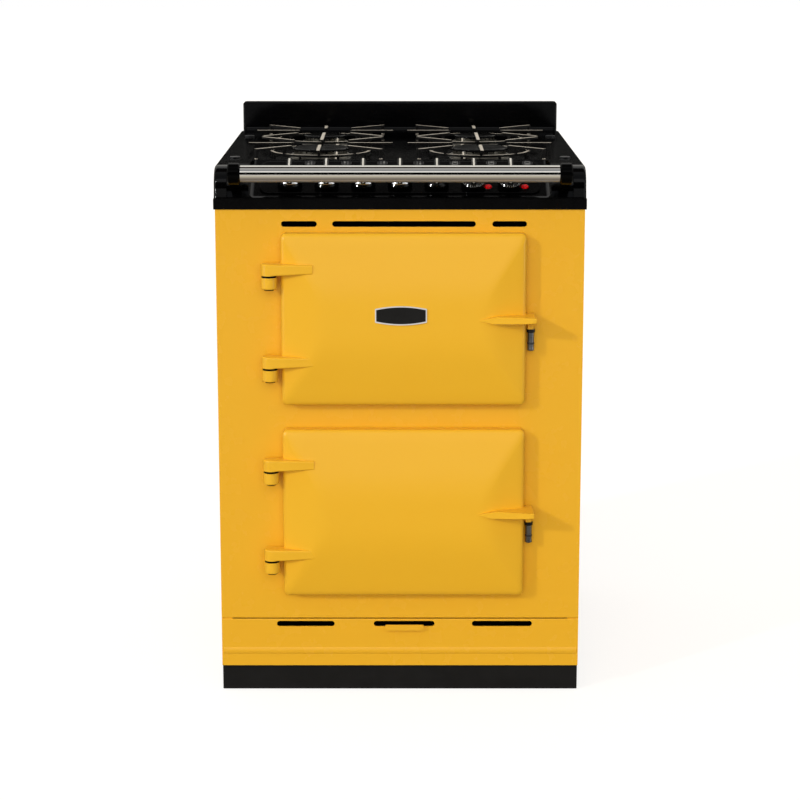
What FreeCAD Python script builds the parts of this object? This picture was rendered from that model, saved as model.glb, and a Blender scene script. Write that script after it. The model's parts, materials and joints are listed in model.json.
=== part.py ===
import FreeCAD, Part
import math
import os
from FreeCAD import Vector

# Millimetres. +X is the user's right, -Y is the front, +Z is up.
# The origin is on the floor, under the middle of the whole outline.

# Overall
overall_depth = 702.0
body_width = 600.0
sheet = 2.0
seat_gap = 0.3
along_share = 0.999
slot_round_share = 0.499
running_gap = 0.05
cut_over = 5.0

# Handrail, the front-most piece
rail_radius = 13.5
rail_wall = 1.5
rail_inset = 48.5
rail_reach = 52.0
rail_drop = 4.5
bracket_width = 20.0
bracket_radius = 17.5
bracket_arm_height = 24.0
bracket_spigot = 12.0

# Body
plinth_height = 47.0
seam_z = 130.3
seam_gap = 1.4
flange = 18.0
rear_void = 30.0
front_y = -overall_depth / 2 + bracket_radius + rail_reach
back_y = overall_depth / 2
rear_panel_y = back_y - rear_void
half_body = body_width / 2

# Plinth and feet
plinth_setback = 10.0
plinth_floor_gap = 2.0
foot_radius = 20.0
foot_height = 8.0
foot_stem_radius = 5.0
foot_inset_x = 60.0
foot_inset_y = 50.0
foot_nut_radius = 9.0
foot_nut_height = 8.0

# Vent slots in the front, each given by its middle and its length along X
slot_height = 9.4
top_slot_gap = 13.0
top_margin = 24.0
top_slots = [(-164.0, 58.0), (6.5, 233.0), (178.0, 56.0)]
low_slot_z = 120.5
low_slots = [(-158.5, 97.0), (7.0, 102.0), (171.5, 101.0)]
bead_z = 73.0
bead_height = 6.0
bead_depth = 1.6
seam_round = 1.8
bead_end = 3.0
tab_x = 7.5
tab_width = 64.0
tab_height = 10.0
tab_reach = 7.0
tab_rise = 4.5

# Doors and ovens share one centre line, a little right of the middle
oven_x = 5.8
mouth_width = 340.0
mouth_height = 232.0
door_cover_x = 29.0
door_cover_z = 25.5
door_width = mouth_width + 2 * door_cover_x
door_height = mouth_height + 2 * door_cover_z
door_edge = 24.0
door_gap = 2.0
door_rim_radius = 6.0
door_corner_radius = 9.0
door_crown = 15.0
door_bevel_x = 78.0
door_bevel_z = 122.0
door_pocket_inset = 14.0
door_pocket_depth = 10.0
door_hollow_depth = 18.0
door_ledge = 14.0
lower_door_z = 177.0
doors_apart = 42.0
upper_door_z = lower_door_z + door_height + doors_apart
top_slot_z = upper_door_z + door_height + top_slot_gap
body_top_z = top_slot_z + top_margin
door_left_x = oven_x - door_width / 2
door_right_x = oven_x + door_width / 2
mouth_radius = 10.0
mouth_flange = 12.0
cavity_depth = 410.0
liner_sheet = 1.5
plug_gap = 5.0
plug_depth = 12.0
liner_setback = 3.0
seal_width = 9.0

# Hinges
hinge_out = 18.8
hinge_x = door_left_x - hinge_out
hinge_reach = 27.0
knuckle_radius = 13.0
knuckle_height = 19.0
knuckle_gap = 3.4
washer_radius = 12.2
washer_gap = 0.05
hinge_heights = [62.0, 214.5]
hinge_web_width = 18.0
pin_radius = 5.0
pin_head_radius = 8.0
pin_head_height = 2.0
strap_length = 52.0
strap_round = 2.5
strap_level_share = 0.15
strap_sink_share = 0.72
strap_low_share = 0.14
strap_high_share = 0.93
strap_brow_share = 0.99

# Handle on each door, with its latch barrel under it
handle_up = 151.0
fin_on_door = 77.8
fin_past_edge = 15.0
fin_reach = 60.0
fin_height = 14.0
fin_tip_height = 9.0
fin_tip_run = 22.0
fin_back_gap = 8.0
fin_start_share = 1.02
fin_round = 2.2
fin_lead_share = 0.35
lug_drop = 11.0
latch_past_edge = 8.6
latch_stand = 15.5
latch_radius = 5.6
latch_waist = 5.3
latch_length = 36.0
latch_collar = 4.0
catch_radius = 5.0
catch_nose = 1.6
catch_depth = 24.0

# Badge plate, left bare
badge_x = 1.6
badge_up = 152.5
badge_width = 84.0
badge_height = 31.5
badge_arch = 4.5
badge_rim = 2.0
badge_thick = 2.4
badge_face_drop = 0.8

# Shelves and racks
rack_sheet = 1.2
rack_rails = 3
rack_rail_reach = 10.0
rack_rail_height = 2.0
rack_rail_pair = 11.0
rack_pitch = 56.0
rack_first = 40.0
rack_depth = 330.0
rack_front = 30.0
shelf_frame_radius = 3.0
shelf_wire_radius = 1.5
shelf_wires = 11
shelf_depth = 320.0
shelf_side_gap = 3.0

# Grill element in the upper oven
grill_radius = 3.3
grill_drop = 26.0
grill_bend = 22.0
grill_loops = 3
grill_front = 60.0
grill_run = 270.0
grill_bend_share = 0.98

# Fan of the lower oven
baffle_gap = 36.0
baffle_sheet = 1.2
baffle_side_gap = 14.0
baffle_hole_radius = 42.0
baffle_ring_slots = 12
baffle_slot_share = 0.4
impeller_radius = 66.0
impeller_hub_radius = 11.0
impeller_depth = 16.0
impeller_blades = 10
blade_start_share = 0.55
blade_end_share = 0.97
blade_turn = 25.0
hub_bore_share = 0.7
shaft_end_share = 0.6
blade_sheet = 1.4
impeller_back_gap = 8.0
shaft_radius = 4.0
motor_radius = 32.0
motor_depth = 48.0
element_radius = 86.0
element_tube = 3.3
tail_share = 1.3

# Hob top
lip_height = 17.0
lip_reach = 2.5
hob_rise = 68.0
hob_sheet = 2.5
cheek_inset = 0.5
pillar_width = 21.0
pillar_front_round = 34.0
pillar_lean = 4.5
cheek_setback = 6.0
bay_inset = 56.5
bay_corner = 10.0
ledge_depth = 20.0
slope_foot_rise = 19.0
slope_angle = 29.0
well_inset_x = 46.0
well_front_gap = 14.0
well_back_gap = 22.0
well_depth = 8.0
well_radius = 24.0
edge_round = 5.0
upstand_thick = 17.0
upstand_rise = 56.0
upstand_inset = 6.5
upstand_corner = 6.0
upstand_round = 4.0
cove_radius = 11.0
hob_cap_inset = 25.5
hob_cap_front_gap = 38.0
hob_cap_back_gap = 101.0
hob_cap_radius = 9.0
hob_cap_height = 2.0

# Control fascia and what it carries
fascia_inset = 17.0
fascia_sheet = 2.0
fascia_margin = 6.0
fascia_corner = 14.0
fascia_round_share = 0.45
control_count = 7
control_end_gap = 49.0
control_up = 29.5
disc_offset_x = 31.0
disc_up = 88.0
disc_radius = 8.0
disc_thick = 1.2
neon_offset_share = 0.4
neon_up = 21.0
neon_radius = 6.0
neon_height = 3.0
neon_round_share = 0.6
neon_stem_radius = 3.0
neon_stem = 14.0

# Knobs
knob_gap = 3.6
skirt_radius = 20.0
skirt_waist_radius = 17.5
skirt_height = 7.0
skirt_shoulder = 9.0
knob_neck_radius = 15.5
grip_blade_thick = 8.0
grip_blade_length = 34.0
knob_height = 38.0
pointer_width = 2.0
pointer_height = 1.0
spindle_radius = 3.0
spindle_socket = 18.0
spindle_hole_gap = 1.5
skirt_edge_share = 0.6
blade_draft_share = 0.86
blade_round_share = 0.45
cheek_foot_share = 0.9
cheek_top_share = 1.1
cheek_height_share = 0.35
pointer_start_share = 0.2
pointer_end_share = 0.8

# Gas taps, switches and pipes
tap_width = 26.0
tap_length = 34.0
tap_neck_radius = 7.0
tap_neck = 13.0
switch_radius_share = 0.35
switch_length = 30.0
pipe_radius = 8.0
pipe_bend = 24.0
manifold_up = 22.0
manifold_drop = 30.0
manifold_end_gap = 24.0
supply_inset = 38.0
supply_back = 62.0
inlet_radius = 10.48
inlet_length = 15.0
inlet_drop = 54.0
inlet_hex_radius = 12.0
inlet_hex_height = 9.0
hex_sides = 6

# Burners, left and right of the middle, front and back
burner_x_share = 0.5341
burner_front_share = 0.2783
burner_pitch_share = 0.484
burner_aspect_share = 0.6009
burner_radius_shares = {"front": 0.2018, "back": 0.1579}
burner_base_height = 4.0
burner_throat_radius = 9.0
burner_cup_radius = 15.0
burner_cup_height = 18.0
crown_height = 7.0
crown_wall = 4.0
crown_slots = 24
crown_slot_width = 2.0
crown_slot_height = 4.0
cap_height = 4.0
cap_overhang = 3.0
cap_gap = 0.3
cap_round_share = 0.6
electrode_turn = 60.0
electrode_radius = 1.6
electrode_height = 12.0
electrode_gap = 1.0
electrode_collar_radius = 3.2
electrode_collar_height = 5.0

# Pan supports
support_rise = 15.0
ring_share = 0.3684
ring_width = 5.0
ring_rise = 2.0
ring_height = 4.0
finger_width = 5.6
finger_height = 3.6
finger_leg_share = 0.8
finger_post_share = 0.7
side_finger_shares = (0.2018, 0.5439)
corner_finger_shares = (0.2895, 0.6579)
front_finger_shares = (0.1579, 0.5877)
finger_taper = 2.5
foot_ball_radius = 3.6
ring_leg_radius = 2.4
ring_leg_turns = [202.5, 247.5, 292.5, 337.5]

# Services at the back
terminal_inset = 90.0
terminal_drop = 182.0
terminal_width = 90.0
terminal_height = 70.0
terminal_depth = 26.0
terminal_wall = 2.5
gland_radius = 10.0
gland_length = 16.0
gland_wall = 4.0

# Turns, in degrees
eighth_turn = 45.0
right_angle = 90.0
half_turn = 180.0
full_turn = 360.0

# Worked out once, for use all over
hob_width = body_width + 2 * lip_reach
hob_edge_z = body_top_z + hob_rise
slope_foot_z = body_top_z + slope_foot_rise
upstand_top_z = hob_edge_z + upstand_rise
rail_z = hob_edge_z - rail_drop
rail_half_length = hob_width / 2 - rail_inset
bay_half_width = hob_width / 2 - bay_inset
upstand_half_width = hob_width / 2 - upstand_inset
upstand_front_y = back_y - upstand_thick
fascia_half_width = bay_half_width - fascia_inset
hob_cap_x = hob_width / 2 - hob_cap_inset
supply_x = half_body - supply_inset
inlet_end_z = body_top_z - inlet_drop
terminal_x = terminal_inset - half_body
terminal_z = body_top_z - terminal_drop
badge_z = upper_door_z + badge_up
support_top_z = hob_edge_z + support_rise
ring_top_z = hob_edge_z + ring_rise
fin_start_x = door_right_x - fin_on_door
fin_end_x = door_right_x + fin_past_edge
latch_x = door_right_x + latch_past_edge
latch_y = front_y - latch_stand
slope = math.radians(slope_angle)
slope_foot_y = front_y + ledge_depth
slope_rise = hob_edge_z - slope_foot_z
slope_length = slope_rise / math.sin(slope)
slope_top_y = slope_foot_y + slope_rise / math.tan(slope)
up_slope = Vector(0, math.cos(slope), math.sin(slope))
off_slope = Vector(0, -math.sin(slope), math.cos(slope))
well_z = hob_edge_z - well_depth
well_y0 = slope_top_y + well_front_gap
well_y1 = upstand_front_y - well_back_gap
well_half = hob_width / 2 - well_inset_x
hob_cap_front_y = slope_top_y + hob_cap_front_gap
hob_cap_back_y = upstand_front_y - hob_cap_back_gap
burner_x = well_half * burner_x_share
burner_front_y = well_y0 + (well_y1 - well_y0) * burner_front_share
burner_pitch_y = (well_y1 - well_y0) * burner_pitch_share
support_span = min(burner_pitch_y, burner_x / burner_aspect_share)
burner_radii = {row: support_span * share for row, share in burner_radius_shares.items()}
ring_radius = support_span * ring_share
side_finger = [support_span * share for share in side_finger_shares]
corner_finger = [support_span * share for share in corner_finger_shares]
front_finger = [support_span * share for share in front_finger_shares]
mouth_bottom = (door_height - mouth_height) / 2
hinge_y = front_y - hinge_reach
door_back_y = front_y - door_gap
control_pitch = 2 * (fascia_half_width - control_end_gap) / (control_count - 1)
control_xs = [(i - (control_count - 1) / 2) * control_pitch for i in range(control_count)]
neon_offset_x = control_pitch * neon_offset_share
knob_names = ["hob_knob_1", "hob_knob_2", "hob_knob_3", "hob_knob_4",
              "grill_knob", "upper_oven_knob", "lower_oven_knob"]
gas_xs = control_xs[:4]
oven_xs = control_xs[4:]
lamp_xs = control_xs[5:]
burners = [(side * burner_x, burner_front_y + row * burner_pitch_y, ("front", "back")[row])
           for side in (-1, 1) for row in (0, 1)]


def block(x0, x1, y0, y1, z0, z1):
    return Part.makeBox(x1 - x0, y1 - y0, z1 - z0, Vector(x0, y0, z0))


def prism_x(points, x0, x1):
    # A side view in (y, z), drawn out along X
    corners = [Vector(x0, y, z) for y, z in points]
    face = Part.Face(Part.makePolygon(corners + corners[:1]))
    return face.extrude(Vector(x1 - x0, 0, 0))


def rounded_wire(cx, cz, width, height, radius, y):
    # A rounded rectangle in the XZ plane
    hx, hz = width / 2, height / 2
    edges = []
    corners = [(hx, -hz, -right_angle), (hx, hz, 0), (-hx, hz, right_angle), (-hx, -hz, half_turn)]
    spots = []
    for px, pz, start in corners:
        mx = cx + px - math.copysign(radius, px)
        mz = cz + pz - math.copysign(radius, pz)
        arc = []
        for step in (0, eighth_turn, right_angle):
            turn = math.radians(start + step)
            arc.append(Vector(mx + radius * math.cos(turn), y, mz + radius * math.sin(turn)))
        spots.append(arc)
    for i, arc in enumerate(spots):
        edges.append(Part.Arc(*arc).toShape())
        edges.append(Part.LineSegment(arc[2], spots[(i + 1) % 4][0]).toShape())
    return Part.Wire(edges)


def rounded_plate(cx, cz, width, height, radius, y0, y1):
    face = Part.Face(rounded_wire(cx, cz, width, height, radius, y0))
    return face.extrude(Vector(0, y1 - y0, 0))


def rounded_well(x0, x1, y0, y1, radius, z0, z1):
    # A rounded rectangle seen from above
    solid = block(x0, x1, y0, y1, z0, z1)
    upright = [e for e in solid.Edges if is_along(e, Vector(0, 0, 1))]
    return solid.makeFillet(radius, upright)


def is_along(edge, axis):
    ends = edge.Vertexes
    if len(ends) != 2:
        return False
    run = ends[1].Point - ends[0].Point
    return run.Length > 0 and abs(run.normalize().dot(axis)) > along_share


def slot_cut(cx, cz, length, height, y0, y1):
    # A slot with round ends through a front panel
    return rounded_plate(cx, cz, length, height, height * slot_round_share, y0, y1)


def on_slope(x, up, off):
    foot = Vector(x, slope_foot_y, slope_foot_z)
    return foot + up_slope * up + off_slope * off


def to_slope(shape, x, up, off=0.0):
    # Takes a shape drawn with +Z off the slope and +Y up the slope
    placed = shape.copy()
    placed.Placement = FreeCAD.Placement(on_slope(x, up, off), FreeCAD.Rotation(Vector(1, 0, 0), slope_angle))
    return placed


def pipe(points, bend, radius):
    # A round pipe along straight runs with one bend radius
    edges = []
    last = points[0]
    for before, corner, after in zip(points, points[1:], points[2:]):
        into = (corner - before).normalize()
        out = (after - corner).normalize()
        half = into.getAngle(out) / 2
        reach = bend * math.tan(half)
        start = corner - into * reach
        end = corner + out * reach
        inward = (out - into).normalize()
        middle = corner + inward * (bend / math.cos(half) - bend)
        edges.append(Part.LineSegment(last, start).toShape())
        edges.append(Part.Arc(start, middle, end).toShape())
        last = end
    edges.append(Part.LineSegment(last, points[-1]).toShape())
    path = Part.Wire(edges)
    ring = Part.Wire(Part.makeCircle(radius, points[0], points[1] - points[0]))
    return path.makePipeShell([ring], True, False)


def save(name, *shapes):
    shape = shapes[0] if len(shapes) == 1 else Part.makeCompound(list(shapes))
    if not shape.isValid():
        print("invalid", name)
    shape.exportStep("parts/" + name + ".step")


def build_side_panel(side):
    outer = side * half_body
    inner = side * (half_body - sheet)
    fold = side * (half_body - flange)
    y0 = front_y + sheet
    skin = block(min(outer, inner), max(outer, inner), y0, rear_panel_y, plinth_height, body_top_z)
    lo, hi = min(fold, inner), max(fold, inner)
    front = block(lo, hi, y0, y0 + sheet, plinth_height + sheet, body_top_z)
    back = block(lo, hi, rear_panel_y - 2 * sheet, rear_panel_y - sheet, plinth_height + sheet, body_top_z)
    top = block(lo, hi, y0, rear_panel_y - sheet, body_top_z - sheet, body_top_z)
    return skin.fuse([front, back, top]).removeSplitter()


def build_back_panel():
    half = half_body - sheet - seat_gap
    plate = block(-half, half, rear_panel_y - sheet, rear_panel_y, plinth_height + sheet, body_top_z)
    louvre_width = mouth_width / 3
    for row in range(5):
        z = body_top_z - flange * (row + 2)
        cut = slot_cut(0, z, louvre_width, slot_height, rear_panel_y - cut_over, rear_panel_y + cut_over)
        plate = plate.cut(cut)
    return plate


def foot_places():
    x = half_body - foot_inset_x
    return [(sx * x, y) for sx in (-1, 1)
            for y in (front_y + foot_inset_y, rear_panel_y - foot_inset_y)]


def build_base_tray():
    half = half_body - sheet - seat_gap
    y0 = front_y + 2 * sheet + seat_gap
    y1 = rear_panel_y - 2 * sheet - seat_gap
    outer = block(-half, half, y0, y1, plinth_height, plinth_height + flange)
    inner = block(-half + sheet, half - sheet, y0 + sheet, y1 - sheet,
                  plinth_height + sheet, plinth_height + flange + cut_over)
    relief = []
    for side in (-1, 1):
        edge = side * half
        fold = side * (half_body - flange - seat_gap)
        for y in (y0, y1):
            near = y - cut_over if y < 0 else y - sheet - cut_over
            relief.append(block(min(edge, fold), max(edge, fold), near, near + sheet + 2 * cut_over,
                                plinth_height + sheet, plinth_height + flange + cut_over))
    holes = [Part.makeCylinder(foot_stem_radius + seat_gap, 2 * cut_over + sheet,
                               Vector(x, y, plinth_height - cut_over)) for x, y in foot_places()]
    return outer.cut([inner] + relief + holes)


def build_foot(x, y):
    pad = Part.makeCylinder(foot_radius, foot_height, Vector(x, y, 0))
    rim = [e for e in pad.Edges if e.Vertexes[0].Point.z > 0 and not is_along(e, Vector(0, 0, 1))]
    pad = pad.makeChamfer(sheet, rim)
    stem_top = plinth_height + sheet + foot_nut_height
    stem = Part.makeCylinder(foot_stem_radius, stem_top, Vector(x, y, 0))
    nut_z = plinth_height - foot_nut_height
    nut = Part.makeCylinder(foot_nut_radius, foot_nut_height, Vector(x, y, nut_z))
    return pad.fuse([stem, nut]).removeSplitter()


def build_plinth():
    half = half_body
    y0 = front_y + plinth_setback
    y1 = rear_panel_y - foot_inset_y
    outer = block(-half, half, y0, y1, plinth_floor_gap, plinth_height)
    inner = block(-half + sheet, half - sheet, y0 + sheet, y1 + cut_over,
                  plinth_floor_gap - cut_over, plinth_height - sheet)
    well = block(-half + flange, half - flange, y0 + flange, y1 + cut_over,
                 plinth_height - sheet - cut_over, plinth_height + cut_over)
    shell = outer.cut([inner, well])
    corners = [e for e in shell.Edges if is_along(e, Vector(0, 0, 1))
               and abs(abs(e.Vertexes[0].Point.x) - half) < seat_gap
               and e.Vertexes[0].Point.y < y0 + seat_gap]
    return shell.makeFillet(sheet - seat_gap, corners)


def mouth_plate(door_z, grow, y0, y1):
    cz = door_z + door_height / 2
    return rounded_plate(oven_x, cz, mouth_width + 2 * grow, mouth_height + 2 * grow,
                         mouth_radius + grow, y0, y1)


def build_front_panel():
    plate = block(-half_body, half_body, front_y, front_y + sheet, seam_z, body_top_z)
    fold_z = block(-half_body + flange + seat_gap, half_body - flange - seat_gap, front_y + sheet,
                   front_y + flange, body_top_z - sheet, body_top_z)
    plate = plate.fuse(fold_z)
    for door_z in (upper_door_z, lower_door_z):
        frame = mouth_plate(door_z, 0, front_y, front_y + mouth_flange)
        hole = mouth_plate(door_z, -sheet, front_y - cut_over, front_y + mouth_flange + cut_over)
        catch = Part.makeCylinder(catch_radius + seat_gap, 2 * cut_over + sheet,
                                  catch_spot(door_z) - Vector(0, cut_over, 0), Vector(0, 1, 0))
        plate = plate.fuse(frame).cut([hole, catch])
    slots = [slot_cut(x, top_slot_z, length, slot_height, front_y - cut_over, front_y + cut_over)
             for x, length in top_slots]
    return round_seam(plate.cut(slots).removeSplitter(), seam_z)


def round_seam(panel, z):
    # Softens the front edge of a panel where the two panels meet
    rim = [e for e in panel.Edges if is_along(e, Vector(1, 0, 0)) and e.Length > body_width / 2
           and abs(e.Vertexes[0].Point.z - z) < running_gap
           and abs(e.Vertexes[0].Point.y - front_y) < running_gap]
    return panel.makeFillet(seam_round, rim)


def pressed_bead(z, height, depth, half_length):
    # A soft ridge pressed out of the sheet, drawn as a shallow arc
    low, high = Vector(-half_length, front_y, z - height), Vector(-half_length, front_y, z + height)
    crest = Vector(-half_length, front_y - depth, z)
    back = Vector(0, sheet / 2, 0)
    wire = Part.Wire([Part.Arc(low, crest, high).toShape(), Part.LineSegment(high, high + back).toShape(),
                      Part.LineSegment(high + back, low + back).toShape(),
                      Part.LineSegment(low + back, low).toShape()])
    return Part.Face(wire).extrude(Vector(2 * half_length, 0, 0))


def build_lower_panel():
    plate = block(-half_body, half_body, front_y, front_y + sheet, plinth_height, seam_z - seam_gap)
    fold = block(-half_body + flange + seat_gap, half_body - flange - seat_gap, front_y + sheet,
                 front_y + flange, plinth_height + 2 * flange, plinth_height + 2 * flange + sheet)
    bead = pressed_bead(bead_z, bead_height, bead_depth, half_body - bead_end)
    slots = [slot_cut(x, low_slot_z, length, slot_height, front_y - cut_over, front_y + cut_over)
             for x, length in low_slots]
    plate = plate.fuse([bead, fold]).cut(slots)
    low = low_slot_z - slot_height / 2
    face_y = front_y - tab_reach
    lip = prism_x([(front_y + sheet / 2, low), (face_y + sheet, low), (face_y + sheet, low + tab_rise),
                   (face_y, low + tab_rise), (face_y, low + tab_rise - tab_height),
                   (face_y + sheet, low + tab_rise - tab_height), (front_y + sheet / 2, low - sheet)],
                  tab_x - tab_width / 2, tab_x + tab_width / 2)
    return round_seam(plate.fuse(lip).removeSplitter(), seam_z - seam_gap)


def catch_spot(door_z):
    x = oven_x + door_width / 2 - door_pocket_inset / 2
    return Vector(x, front_y, door_z + door_height / 2)


def build_catch(door_z):
    spot = catch_spot(door_z)
    back = Vector(0, 1, 0)
    barrel = Part.makeCylinder(catch_radius, catch_depth, spot, back)
    collar = Part.makeCylinder(catch_radius + sheet, sheet, spot + Vector(0, sheet + seat_gap, 0), back)
    nose_radius = catch_radius - sheet / 2
    ball = Part.makeSphere(nose_radius, spot + Vector(0, nose_radius - catch_nose, 0))
    return barrel.fuse([collar, ball]).removeSplitter()


def door_front_y():
    return door_back_y - door_edge - door_crown


def build_door_casting(door_z):
    cx, cz = oven_x, door_z + door_height / 2
    rim_y = door_back_y - door_edge + door_rim_radius
    slab = rounded_plate(cx, cz, door_width, door_height, door_corner_radius, door_back_y, rim_y)
    # Inset, rise and corner rounding of each section, from the rim to the crown
    section_shares = [(0.0, 0.0, 0.0), (0.02, 0.13, 0.0), (0.05, 0.22, 0.01), (0.1, 0.30, 0.02),
                      (0.3, 0.52, 0.05), (0.5, 0.73, 0.1), (0.65, 0.868, 0.15), (0.8, 0.957, 0.2),
                      (0.92, 0.993, 0.25), (1.0, 1.0, 0.3)]
    rise = door_rim_radius + door_crown
    wires = []
    for inset_share, rise_share, round_share in section_shares:
        width = door_width - 2 * door_bevel_x * inset_share
        height = door_height - 2 * door_bevel_z * inset_share
        radius = door_corner_radius + (door_bevel_x / 3 - door_corner_radius) * round_share
        wires.append(rounded_wire(cx, cz, width, height, radius, rim_y - rise * rise_share))
    pillow = Part.makeLoft(wires, True, False)
    pocket = rounded_plate(cx, cz, door_width - 2 * door_pocket_inset, door_height - 2 * door_pocket_inset,
                           door_corner_radius, door_back_y + cut_over, door_back_y - door_pocket_depth)
    inset = door_pocket_inset + door_ledge
    hollow = rounded_plate(cx, cz, door_width - 2 * inset, door_height - 2 * inset, door_corner_radius,
                           door_back_y + cut_over, door_back_y - door_hollow_depth)
    body = slab.fuse(pillow).cut([pocket, hollow])
    knuckles, bores = [], []
    for up in hinge_heights:
        z = door_z + up + knuckle_gap / 2
        knuckles.append(build_strap(z))
        bores.append(Part.makeCylinder(pin_radius + running_gap, knuckle_height - sheet,
                                       Vector(hinge_x, hinge_y, z)))
    return body.fuse(knuckles).fuse(build_fin(door_z)).cut(bores).removeSplitter()


def build_strap(z):
    # Knuckle and tapered strap that runs onto the door's face
    far_x = door_left_x + strap_length
    face_y = door_back_y - door_edge
    nose_y = hinge_y - knuckle_radius
    outline = [(hinge_x, nose_y), (door_left_x + strap_length * strap_level_share, nose_y),
               (far_x, face_y - door_crown * strap_sink_share), (far_x, face_y + door_rim_radius),
               (door_left_x + sheet, face_y + 2 * door_rim_radius), (hinge_x, hinge_y + knuckle_radius / 2)]
    corners = [Vector(x, y, z) for x, y in outline]
    strap = Part.Face(Part.makePolygon(corners + corners[:1])).extrude(Vector(0, 0, knuckle_height))
    # Seen from the front, the strap narrows along the door
    wedge = [Vector(hinge_x, 0, z), Vector(far_x, 0, z + knuckle_height * strap_low_share),
             Vector(far_x, 0, z + knuckle_height * strap_high_share),
             Vector(hinge_x, 0, z + knuckle_height * strap_brow_share)]
    strap = strap.common(Part.Face(Part.makePolygon(wedge + wedge[:1])).extrude(Vector(0, 2 * front_y, 0)))
    brow_y = face_y - door_crown * strap_sink_share / 2
    rims = [e for e in strap.Edges if abs(e.Vertexes[0].Point.z - e.Vertexes[1].Point.z) < knuckle_height / 2
            and all(v.Point.y < brow_y for v in e.Vertexes) and e.Length > strap_length / 2]
    strap = strap.makeFillet(strap_round, rims)
    knuckle = Part.makeCylinder(knuckle_radius, knuckle_height, Vector(hinge_x, hinge_y, z))
    crown = [e for e in knuckle.Edges if e.BoundBox.ZMin > z + knuckle_height / 2]
    return strap.fuse(knuckle.makeFillet(strap_round, crown)).removeSplitter()


def build_fin(door_z):
    # Tapered arm that leaves the door's face, thins towards its front and carries the latch barrel
    high = door_z + handle_up
    low = high - fin_height
    root_y = door_back_y - door_edge
    tip_y = front_y - fin_reach
    plan = [(fin_start_x, root_y - door_crown * fin_start_share), (latch_x, tip_y), (fin_end_x, tip_y),
            (fin_end_x, front_y - fin_back_gap), (door_right_x - door_rim_radius, front_y - fin_back_gap),
            (door_right_x - door_rim_radius, root_y + door_rim_radius),
            (fin_start_x, root_y + door_rim_radius)]
    corners = [Vector(x, y, low) for x, y in plan]
    fin = Part.Face(Part.makePolygon(corners + corners[:1])).extrude(Vector(0, 0, fin_height))
    side = prism_x([(tip_y - cut_over, high), (tip_y - cut_over, high - fin_tip_height),
                    (tip_y, high - fin_tip_height), (tip_y + fin_tip_run, low), (front_y, low),
                    (front_y, high)],
                   fin_start_x - cut_over, fin_end_x + cut_over)
    # Seen from the front it widens from a point on the door
    span = fin_end_x - fin_start_x
    face = [Vector(fin_start_x, 0, high - fin_height / 2),
            Vector(fin_start_x + span * fin_lead_share, 0, high),
            Vector(fin_end_x + cut_over, 0, high), Vector(fin_end_x + cut_over, 0, low),
            Vector(fin_start_x + span * fin_lead_share, 0, low)]
    front = Part.Face(Part.makePolygon(face + face[:1])).extrude(Vector(0, 2 * front_y, 0))
    fin = fin.common(side).common(front)
    tip = [e for e in fin.Edges if all(v.Point.y < tip_y + running_gap for v in e.Vertexes)
           and not is_along(e, Vector(0, 0, 1))]
    end = [e for e in fin.Edges if all(v.Point.x > fin_end_x - running_gap for v in e.Vertexes)
           and min(v.Point.y for v in e.Vertexes) < root_y and not is_along(e, Vector(0, 0, 1))]
    rims = tip + [e for e in end if not any(e.isSame(t) for t in tip)]
    fin = fin.makeFillet(fin_round, rims)
    lug = block(latch_x - latch_radius, fin_end_x - fin_round, latch_y - latch_radius, front_y - fin_back_gap,
                low - lug_drop, low + sheet)
    upright = [e for e in lug.Edges if is_along(e, Vector(0, 0, 1))]
    return fin.fuse(lug.makeFillet(fin_round, upright)).removeSplitter()


def build_latch_barrel(door_z):
    # Turned steel barrel hanging from the lug, close to the front panel
    top = door_z + handle_up - fin_height - lug_drop
    r, w, c = latch_radius, latch_waist, latch_collar
    side = [(0, 0), (r, 0), (r, -c), (w, -c - w / 4), (w, -latch_length + c + w / 4),
            (r, -latch_length + c), (r, -latch_length + w / 4), (r - w / 4, -latch_length),
            (0, -latch_length)]
    corners = [Vector(x, 0, z) for x, z in side]
    face = Part.Face(Part.makePolygon(corners + corners[:1]))
    turned = face.revolve(Vector(0, 0, 0), Vector(0, 0, 1), full_turn)
    turned.translate(Vector(latch_x, latch_y, top))
    return turned


def build_door_liner(door_z):
    # Pressed inner pan: a plate in the casting's pocket and a plug that enters the oven mouth
    cx, cz = oven_x, door_z + door_height / 2
    plate_y = door_back_y - liner_setback
    pocket_y = door_back_y - door_pocket_depth
    plate = rounded_plate(cx, cz, door_width - 2 * door_pocket_inset - 2 * seat_gap,
                          door_height - 2 * door_pocket_inset - 2 * seat_gap,
                          door_corner_radius - seat_gap, pocket_y, plate_y)
    plug_width = mouth_width - 2 * plug_gap - 2 * sheet
    plug_height = mouth_height - 2 * plug_gap - 2 * sheet
    plug_y = front_y + plug_depth
    plug = rounded_plate(cx, cz, plug_width, plug_height, mouth_radius, plate_y, plug_y)
    hollow = rounded_plate(cx, cz, plug_width - 4 * sheet, plug_height - 4 * sheet, mouth_radius - sheet,
                           plug_y - sheet, plug_y + cut_over)
    return plate.fuse(plug).cut(hollow).removeSplitter()


def build_door_seal(door_z):
    # Gasket on the front panel round the mouth
    y1 = front_y
    y0 = door_back_y - liner_setback + seat_gap
    outer = mouth_plate(door_z, seal_width, y0, y1)
    inner = mouth_plate(door_z, 0, y0 - cut_over, y1 + cut_over)
    return outer.cut(inner)


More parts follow.
